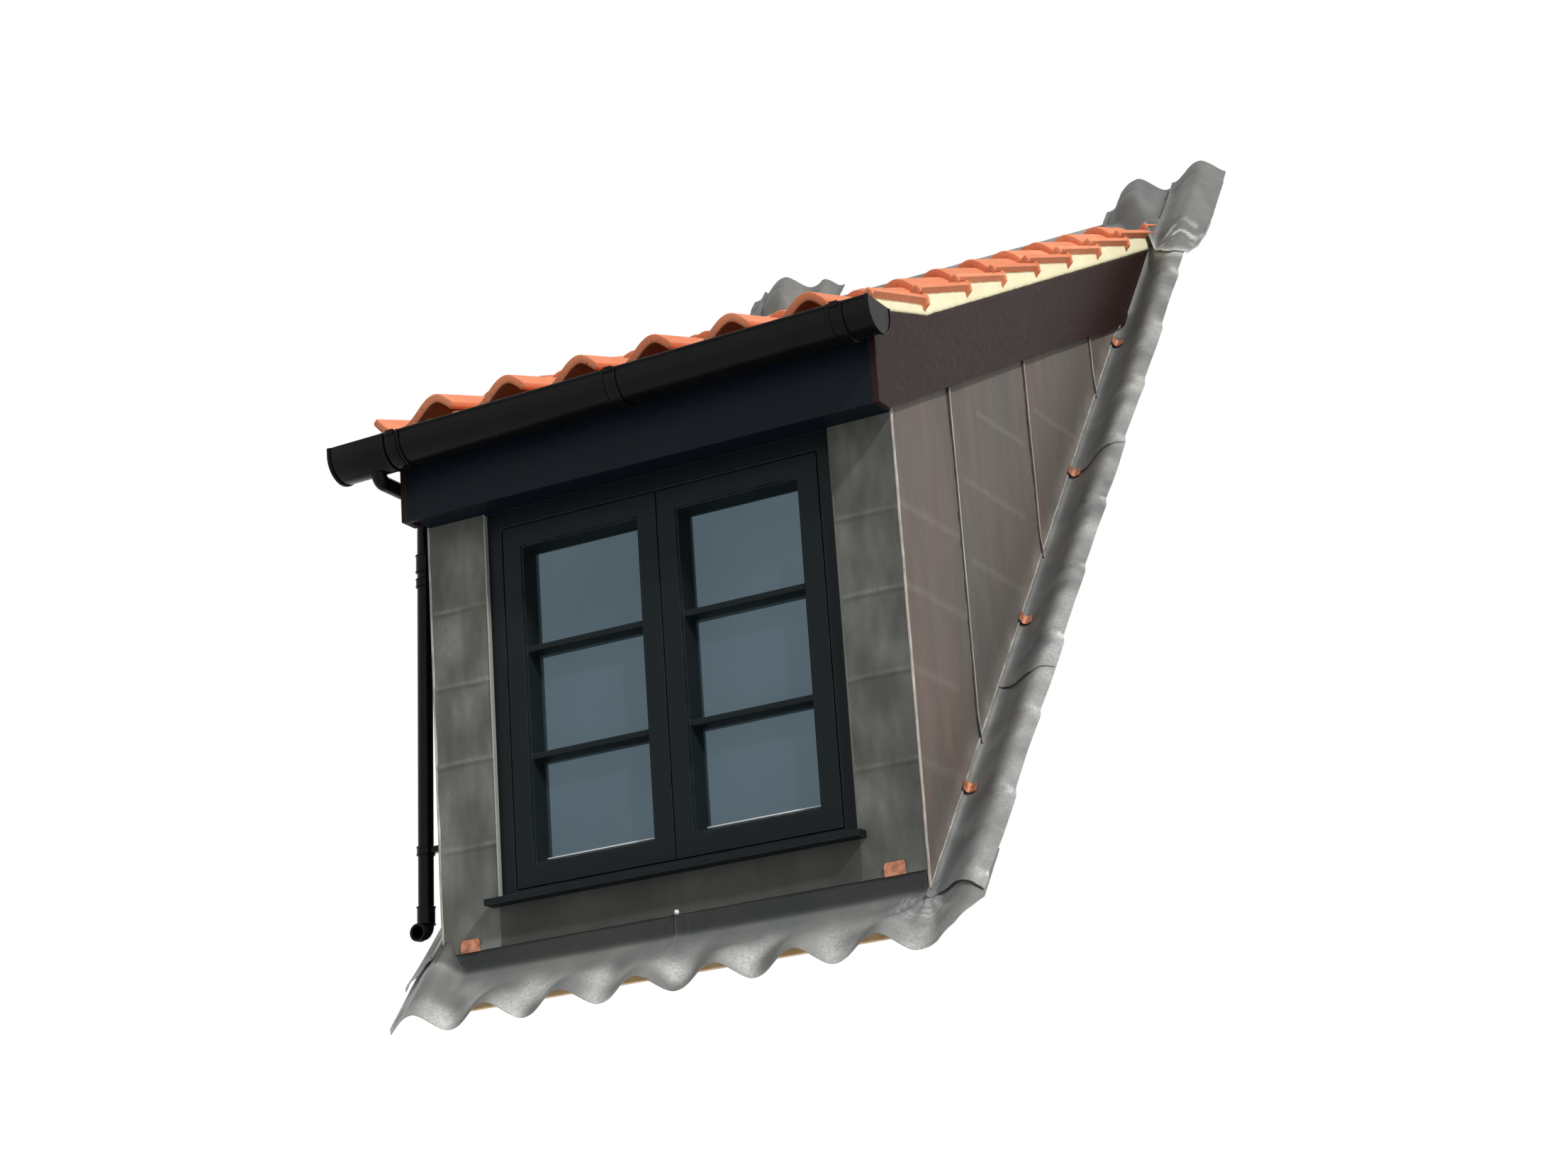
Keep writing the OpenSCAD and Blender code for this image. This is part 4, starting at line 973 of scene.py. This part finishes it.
def make_run(name, side, stations, high, lap):
    """One length: the stations give its lower edge, and lap how far that edge stands up."""
    radius, turned_up = 0.012, 0.16
    inner, outer = FACE_HALF + 0.0006, SIDE_OUTER[side]

    def low(x):
        return through(stations, x)

    def lie(u, v):
        t = max(u - turned_up, 0) / (1 - turned_up)
        x = inner + radius + (outer - inner - radius) * t
        s = low(x) + (high - low(x)) * v
        x += 0.003 * unrest(s, side, 0.3, 5) * t
        up = lap * exp(-(s - low(x)) / 0.05) + 0.0012
        if u < turned_up:
            a = pi / 2 * u / turned_up
            n = dressed(side * (inner + radius), s, 0) + radius * (1 - sin(a)) + up
            return on_main_roof(side * (inner + radius * (1 - cos(a))), s, n)
        return on_main_roof(side * x, s, dressed(side * x, s, grip_at(x, outer)) + up)

    return thicken(new_sheet(name, 40, max(int((high - low(outer)) / 0.009), 4), lie, side < 0))


for side, hand in HAND.items():
    lengths = zip((LOW_EDGES[side], *LAPS), (*LENGTH_ENDS, SIDE_END[side]), LAP_LIFTS)
    runs = [make_run(f"run_{side}_{i}", side, *length) for i, length in enumerate(lengths)]
    flashing = mark(join(f"side_flashing_dressed_{hand}", runs), lead_rub_and_glint(side))
    fit(flashing, lead_bright, "lead_bright", f"side_flashing_{hand}")

# %% [markdown]
# The apron is the sheet under the window, in two lengths that lap at a nail in the middle. It
# leaves the front as a straight fold and takes on the full waves of the tiles by its lower edge,
# where it hangs lower over each trough. At the right it is worked round the corner as an ear that
# climbs the first roll, with small folds where the lead was gathered.

# %% Apron
# the lower edge as x and s, the share of the sheet below the upstand, and both lengths: left end,
# right end and how far the lap stands up
TOE = ((-0.80, -0.17), (-0.765, -0.185), (-0.735, -0.226), (-0.69, -0.217), (0.69, -0.213),
    (0.753, -0.243), (0.80, -0.219), (0.829, -0.165), (0.86, -0.07))
UPSTAND = 0.86
APRON_HALVES = (("left", -0.765, 0.03, 0), ("right", -0.004, SIDE_OUTER[1], 0.0035))


def toe_of(x):
    return through(TOE, x) + 0.007 * unrest(x, 0, 0.11, 2) * (x < 0.7)


def fold_of(x):
    """Where the apron leaves the wall, s and n; beside the corners it lies on the tiles."""
    beside = smooth((x - FACE_HALF) / 0.06) if x > 0 else smooth((-0.60 - x) / 0.055)
    n = FOLD_N + (dressed(x, 0, 0) - FOLD_N) * beside
    return (FACE_Y - 0.001 + n * sin(MAIN_PITCH)) / cos(MAIN_PITCH), n, beside


def gathered(x, s):
    """Small radial folds at the right-hand corner."""
    turn = atan2(s + 0.03, x - FACE_HALF)
    reach = hypot(s + 0.03, x - FACE_HALF)
    return 1.4 * sin(turn * 11) * smooth(reach / 0.04) * smooth((0.2 - reach) / 0.12)


def make_apron_length(name, x0, x1, lap):
    def lie(u, v):
        x = x0 + (x1 - x0) * u
        up = lap * exp(-(x - x0) / 0.02)
        s_fold, n_fold, beside = fold_of(x)
        if v > UPSTAND:
            part = (v - UPSTAND) / (1 - UPSTAND)
            if abs(x) > FACE_HALF:
                s = s_fold + 0.03 * part
                return on_main_roof(x, s, dressed(x, s, 0) * beside + n_fold * (1 - beside) + up)
            foot = on_main_roof(x, s_fold, n_fold).z
            rise = max(STEP_Z - 0.001 - foot, 0.004)
            return Vector((x, FACE_Y - 0.0008 - up, foot + rise * part))
        t = 1 - v / UPSTAND
        s = s_fold + (toe_of(x) - s_fold) * t
        cling = max(smooth((t - 0.2) / 0.75), beside)
        n = (n_fold + 0.003) * (1 - cling) + dressed(x, s, 0.15 * t) * cling + up
        return on_main_roof(x, s, n + 0.0025 * gathered(x, s))

    return thicken(new_sheet(name, int((x1 - x0) / 0.0075), 34, lie))


def ripples(x, s):
    """Bright rings where the corner was worked round."""
    reach = hypot(s + 0.05, x - 0.676)
    ring = 0.5 + 0.5 * sin(reach * 360 + 4 * unrest(x, s, 0.05, 2))
    return ring * patches(x, s, 0.03, 11) * smooth((0.11 - reach) / 0.04)


def rub_apron(point):
    s, x = place_on_main(point)[0], point.x
    t = smooth((FOLD_S - s - 0.02) / 0.12)
    hollow = 1 - wave(x) / RISE
    patchy = patches(x, s, 0.085, 6)
    corner = hump(x, 0.70, 0.05) * hump(s, -0.10, 0.07)
    left = hump(x, -0.66, 0.03) * hump(s, 0.0, 0.05) + hump(x, -0.70, 0.012) * (s < -0.03)
    worked = 0.3 * corner + 0.45 * ripples(x, s) * smooth((-0.02 - s) / 0.02)
    light = max(t * (0.3 + 0.85 * hollow) * patchy, worked, 0.6 * left)
    # The upstand and the strip just below the fold are darkened.
    return light - 0.8 * (abs(x) < FACE_HALF) * (1 - smooth((FOLD_S - s + 0.004) / 0.022))


halves = [make_apron_length(f"apron_{half}", *sizes) for half, *sizes in APRON_HALVES]
fit(mark(join("apron_dressed", halves), rub_apron), lead_bright, "lead_bright", "apron_flashing")
nail = new_shape("apron_nail", bpy.ops.mesh.primitive_uv_sphere_add, segments=20, ring_count=12,
    radius=0.0065, location=(0.002, FACE_Y - 0.004, STEP_Z + 0.001))
fit(soften(nail, 60), nail_steel, "lead_bright")

# %% [markdown]
# Above the dormer's tiles the lead has to leave one roof and join the other. The head flashing is
# dressed over the last course of tiles and flattens out to run up under the main roof's tiles. At
# each end a saddle does the same, drops over the end of the verge and spreads over the first roll
# of the main roof, with a lower edge that laps over the side flashing.

# %% Head flashing and saddles
HEAD_TOE = 0.098
# n of a saddle's bed, then s of its tip, of its fold and of where it spreads over the main roof
SADDLE_BED, SADDLE_TIP, SADDLE_FOLD, SPREAD_FROM, SPREAD_OVER = 0.050, 2.78, 2.93, 3.15, 0.14
SADDLE_OUTER = {1: 0.880, -1: 0.795}
# the lower edge as x and s
SADDLE_LOW = {
    1: ((0.700, 2.996), (0.729, 2.911), (0.790, 2.81), (0.811, 2.79), (0.835, 2.80),
        (0.856, 2.82), (0.868, 2.88), (0.877, 2.96), (0.882, 3.05)),
    -1: ((0.738, 2.996), (0.76, 2.93), (0.78, 2.91), (0.79, 2.95), (0.795, 3.05)),
}


def over_tiles(x, s):
    """Height of the last course of tiles over the main roof's rafters, at s up that roof."""
    x = min(max(x, EDGE_LEFT), EDGE_RIGHT)
    up = TILE_T + ROOM + wave(x, TILE_CREST, TILE_COVER)
    (s0, n0), (s1, n1) = (place_on_main(on_course(8, x, along, up)) for along in (0.0, 0.3))
    return n0 + (n1 - n0) * (s - s0) / (s1 - s0)


def toe_on_tiles(x):
    up = TILE_T + wave(x, TILE_CREST, TILE_COVER)
    return place_on_main(on_course(8, x, HEAD_TOE + 0.012 * unrest(x, 0, 0.2, 8), up))[0]


def higher(a, b, blend=0.006):
    """The larger of two heights, with a soft bend where they meet."""
    return max(a, b) + blend * log(1 + exp(-abs(a - b) / blend))


def lie_head(u, v):
    x = (SADDLE_HALF - 0.001) * (2 * u - 1)
    s = toe_on_tiles(x) + (TURNED_TOP - toe_on_tiles(x)) * v
    return on_main_roof(x, s, higher(over_tiles(x, s), TURNED_N) + 0.001 * unrest(x, s, 0.08, 2))


head = thicken(new_sheet("head_flashing_dressed", 130, 44, lie_head))
mark(head, lambda p: 0.3 + 0.4 * unrest(p.x, p.y, 0.07, 3))
fit(head, lead_bright, "lead_bright", "head_flashing")


def make_saddle(side, edge):
    outer, low_edge, side_outer, start = (table[side] for table in
        (SADDLE_OUTER, SADDLE_LOW, SIDE_OUTER, SIDE_END))
    across = ((0, SADDLE_HALF - 0.012), (0.46, edge - 0.0015), (0.50, edge + 0.002),
        (0.60, edge + 0.008), (1, outer))

    def lie(u, v):
        x = through(across, u)
        toe = toe_on_tiles(side * min(x, edge))
        s_low = toe + (through(low_edge, x) - toe) * smooth((u - 0.46) / 0.08)
        s = s_low + (SADDLE_TOP - s_low) * v
        spread = smooth((s - SPREAD_FROM) / SPREAD_OVER) * smooth((x - SADDLE_HALF) / 0.06)
        bed = SADDLE_BED + (dressed(side * x, s, 0.4) - SADDLE_BED) * spread
        upper = higher(over_tiles(side * min(x, edge), s), bed) + 0.003
        crumple = 0.0016 * (1 + 1.6 * hump(s, SADDLE_FOLD, 0.10)) * unrest(x, s, 0.055, side + 3)
        crumple += 0.0009 * unrest(x, s, 0.025, side)
        if x <= edge:
            return on_main_roof(side * x, s, upper + crumple)
        lower = dressed(side * x, s, 0.5) + 0.0045 + 0.007 * exp(-(s - s_low) / 0.02)
        lower += 0.012 * exp(-max(x - edge - 0.008, 0) / 0.012)
        drop = smooth((u - 0.48) / 0.14)
        return on_main_roof(side * x, s, upper * (1 - drop) + lower * drop + crumple)

    def lie_low(u, v):
        s = start + (low_edge[0][1] + 0.12 - start) * v
        inner = through(((start + 0.09, 0.675), (start + 0.14, BARGE_HALF + 0.001)), s)
        x = inner + (side_outer - inner) * u
        free = max(1 - smooth((s - start - 0.04) / 0.03), smooth((s - start - 0.10) / 0.04))
        rise = 0.0012 + 0.010 * exp(-(x - inner) / 0.006) * free
        x += 0.003 * unrest(s, side, 0.3, 5) * u
        return on_main_roof(side * x, s, dressed(side * x, s, grip_at(x, side_outer)) + rise)

    return [thicken(new_sheet(f"saddle_{side}", 110, 64, lie, side < 0)),
        thicken(new_sheet(f"saddle_low_{side}", 34, 66, lie_low, side < 0))]


def saddle_rub_and_glint(point):
    s, x = place_on_main(point)[0], abs(point.x)
    patchy = patches(point.x, s, 0.045, 12)
    folds = hump(s, SADDLE_FOLD, 0.07) * smooth((x - 0.72) / 0.05)
    hemmed = hump(s, through(SADDLE_LOW[1], x), 0.022) * (x > EDGE_RIGHT - 0.002)
    below = lead_rub_and_glint(1)(point) * (s < SADDLE_TIP)
    facets = smooth((unrest(point.x, s, 0.035, 31) - 0.1) / 0.2)
    return max(0.3 * patchy - 0.3, folds * (1.1 * facets - 0.2), 0.8 * hemmed, below)


saddles = join("saddles_dressed", make_saddle(1, EDGE_RIGHT) + make_saddle(-1, -EDGE_LEFT))
fit(mark(saddles, saddle_rub_and_glint), lead_bright, "lead_bright", "saddle_flashings")

# %% [markdown]
# Strips of copper are nailed under the sheets and folded up over their edges. Each one here is a
# short sheet that hugs the cheek, rolls over the hem and ends on the flashing.

# %% Copper clips
CLIP_S = {1: (0.343, 1.033, 1.723, 2.413), -1: (0.343, 1.033, 1.723)}
CLIP_LONG, FRONT_CLIP_X = 0.034, 0.588
clips = []
for side in (1, -1):
    for number, s in enumerate(CLIP_S[side]):
        def fold_clip(u, v):
            at = s + CLIP_LONG * u - 0.004 + 0.004 * unrest(number, side, 0.7, 5) * v
            out = through(((0, 0.0066), (0.4, 0.0088), (0.6, 0.014), (1, 0.036 - 0.006 * u)), v)
            up = fold_height(side) + 0.012 - CLIP_LONG * v
            floor_n = dressed(side * (FACE_HALF + out), at, 0) + 0.0045
            return on_main_roof(side * (FACE_HALF + out), at, higher(up, floor_n, 0.002))

        clips.append(thicken(new_sheet(f"clip_{side}_{number}", 6, 16, fold_clip, side < 0), 0.001))

    def fold_front(u, v):
        out = 0.0045 + 0.0024 * sin(pi * v) + 0.0008 * unrest(u, v, 0.3, side)
        half = 0.028 - 0.004 * smooth((v - 0.7) / 0.3)
        return Vector((side * FRONT_CLIP_X + half * (2 * u - 1), FACE_Y - out,
            STEP_Z - 0.006 + 0.033 * v))

    clips.append(thicken(new_sheet(f"clip_front_{side}", 6, 10, fold_front), 0.001))
fit(join("clips_folded", clips), copper, "copper", "copper_clips")

# %% [markdown]
# A casement is divided by two slim bars, and each pane is held by a sloping bead. The beads start
# as one block as large as the opening. Its front and back faces are deleted, and the front edges
# are drawn inwards and back in steps. The bars are blocks whose front edges are bevelled to the
# same slope. A thin white strip paints a highlight under the lowest panes.

# %% Glazing beads and bars
SASH_EDGES = {"left": (-0.403, -0.0535), "right": (0.0535, 0.403)}
SASH_LOW, SASH_TOP, GLASS_Y = 0.276083, 1.114083, -0.014
BARS_Z, BAR_HALF = (0.555, 0.835), 0.0125
BEAD_LIP, BEAD_W = 0.005, 0.019


def make_beads(side, x0, x1):
    middle = Vector(((x0 + x1) / 2, 0, (SASH_LOW + SASH_TOP) / 2))
    front = FRAME_Y + 0.004

    def draw_in(distance, y):
        bpy.ops.mesh.extrude_edges_move()
        for point in bmesh.from_edit_mesh(beads.data).verts:
            if point.select:
                point.co.x += distance if point.co.x < middle.x else -distance
                point.co.z += distance if point.co.z < middle.z else -distance
                point.co.y = y

    beads = new_block(f"beads_{side}", (x0, front, SASH_LOW), (x1, GLASS_Y, SASH_TOP))
    pick_faces(beads, lambda at, normal: abs(normal.y) > 0.9)
    bpy.ops.mesh.delete(type="FACE")
    bpy.ops.mesh.select_mode(type="EDGE")
    for edge in bmesh.from_edit_mesh(beads.data).edges:
        edge.select_set(all(point.co.y < front + 0.001 for point in edge.verts))
    bmesh.update_edit_mesh(beads.data)
    draw_in(BEAD_LIP, front)
    draw_in(BEAD_W - BEAD_LIP, GLASS_Y - 0.006)
    draw_in(0, GLASS_Y)
    leave_edit()
    parts = [beads]
    for z in BARS_Z:
        bar = new_block(f"bar_{side}", (x0 + 0.003, FRAME_Y + 0.006, z - BAR_HALF),
            (x1 - 0.003, GLASS_Y, z + BAR_HALF))
        pick_faces(bar, lambda at, normal: normal.y < -0.9)
        for point in bmesh.from_edit_mesh(bar.data).verts:
            if point.select:
                point.co.z += 0.005 if point.co.z < z else -0.005
        leave_edit()
        parts.append(ease(bar, 0.002, 35))
    return soften(outward(join(f"glazing_{side}", parts)), 35)


for side, (x0, x1) in SASH_EDGES.items():
    fit(make_beads(side, x0, x1), rail_paint, "window_paint")
# Thin white strips paint the highlight along the foot of the lowest panes.
highlight_strips = []
z = SASH_LOW + BEAD_W
for side, (x0, x1) in SASH_EDGES.items():
    highlight_strip = new_block(f"seal_{side}", (x0 + BEAD_W, GLASS_Y - 0.0085, z - 0.001),
        (x1 - BEAD_W, GLASS_Y - 0.0005, z + 0.002))
    highlight_strips.append(soften(ease(highlight_strip, 0.0006)))
fit(join("glass_highlight_strips", highlight_strips), white_paint, "white_paint")

# %% [markdown]
# Between the frame and the soffit a dark strip closes the joint.

# %% Strip over the frame
strip = new_block("head_strip", (-FRAME_HALF + 0.002, FACE_Y - 0.0005, HEAD_Z - 0.005),
    (FRAME_HALF - 0.002, FRAME_Y - 0.0002, HEAD_Z + 0.0005))
fit(soften(ease(strip, 0.001)), fascia_paint, "fascia_paint")

# %% [markdown]
# A gutter has more to it than a trough: its front lip is rolled into a bead, the outlet at its left
# end is a larger moulding that the gutter slides into, and each end is closed by a cap with a rim.
# The gutter falls to the left, so all of this is drawn in a frame that is turned by that fall.

# %% Gutter bead, outlet and caps
GUTTER_Y, GUTTER_RIM, GUTTER_R, GUTTER_SIDE = -0.2255, 1.42165, 0.0575, 0.022
GUTTER_FALL = atan(0.024 / 1.561)
UPRIGHT = 0.12
# start, end and how far it stands proud: outlet, two caps, then the rims of outlet and brackets
BANDS = ((-0.829, -0.6605, 0.0035), (-0.8305, -0.8215, 0.0062), (0.7285, 0.7375, 0.0032),
    (-0.6645, -0.6575, 0.0052), (-0.6165, -0.6105, 0.0046), (-0.0035, 0.0015, 0.0046),
    (0.0305, 0.0355, 0.0046), (0.6265, 0.6315, 0.0046), (0.6605, 0.6655, 0.0046))
# y and z of each bead on the rim, its radius and sides, and its left and right end
BEADS = {"bead": (-GUTTER_R + 0.0012, -0.0035, 0.0045, 20, -0.829, 0.738),
    "back_bead": (GUTTER_R - 0.002, -0.0025, 0.0026, 16, -0.827, 0.736)}
GUTTER_CLIPS_X = (-0.636, 0.016, 0.646)


def on_gutter(x, y, z):
    c, d = cos(GUTTER_FALL), sin(GUTTER_FALL)
    return Vector((x * c - z * d, GUTTER_Y + y, GUTTER_RIM + x * d + z * c))


def make_band(name, x0, x1, radius, inside):
    """A band round the gutter: down one side, round the bottom and up the other."""
    def lie(u, v):
        a = pi * (min(max(u, UPRIGHT), 1 - UPRIGHT) - UPRIGHT) / (1 - 2 * UPRIGHT)
        z = -GUTTER_SIDE * min(u, 1 - u, UPRIGHT) / UPRIGHT
        return on_gutter(x0 + (x1 - x0) * v, -radius * cos(a), z - radius * sin(a))

    band = outward(new_sheet(name, 50, 1, lie))
    outward(add_modifier(band, "SOLIDIFY", thickness=radius - inside, offset=-1.0))
    return soften(ease(band, 0.0008, 50), 40)


extras = [soften(new_rod(name, on_gutter(x0, y, z), on_gutter(x1, y, z), radius, sides))
    for name, (y, z, radius, sides, x0, x1) in BEADS.items()]
for number, (x0, x1, proud) in enumerate(BANDS):
    extras.append(make_band(f"band_{number}", x0, x1, GUTTER_R + proud, GUTTER_R - 0.0005))
for number, x in enumerate(GUTTER_CLIPS_X):
    clip = new_block(f"gutter_clip_{number}", (-0.012, -0.0035, -0.012), (0.012, 0.0035, 0.0035))
    clip.data.transform(Matrix.Translation(on_gutter(x, -GUTTER_R - 0.0032, 0)))
    extras.append(soften(ease(clip, 0.0014)))
fit(join("gutter_fittings", extras), plastic, "gutter_plastic")

# %% [markdown]
# Each socket and clip of the downpipe ends in a round seal.

# %% Rings on the downpipe
PIPE_X, PIPE_Y, PIPE_LEAN, NECK_Z = -0.714, -0.020, radians(2), 1.31018
# height and radius of each ring
RINGS = ((0.1875, 0.0232), (0.2310, 0.0232), (0.3665, 0.0226), (0.3855, 0.0226),
    (1.0775, 0.0226), (1.0965, 0.0226), (1.1175, 0.0232), (1.1615, 0.0232))
lean = Vector((sin(PIPE_LEAN), 0, cos(PIPE_LEAN)))
rings = []
for number, (z, radius) in enumerate(RINGS):
    ring = new_shape(f"ring_{number}", bpy.ops.mesh.primitive_torus_add,
        location=Vector((PIPE_X, PIPE_Y, NECK_Z)) + lean * (z - NECK_Z),
        rotation=lean.to_track_quat("Z", "Y").to_euler(), major_radius=radius, minor_radius=0.0019,
        major_segments=40, minor_segments=10)
    rings.append(soften(ring, 60))
fit(join("pipe_rings", rings), plastic, "gutter_plastic")
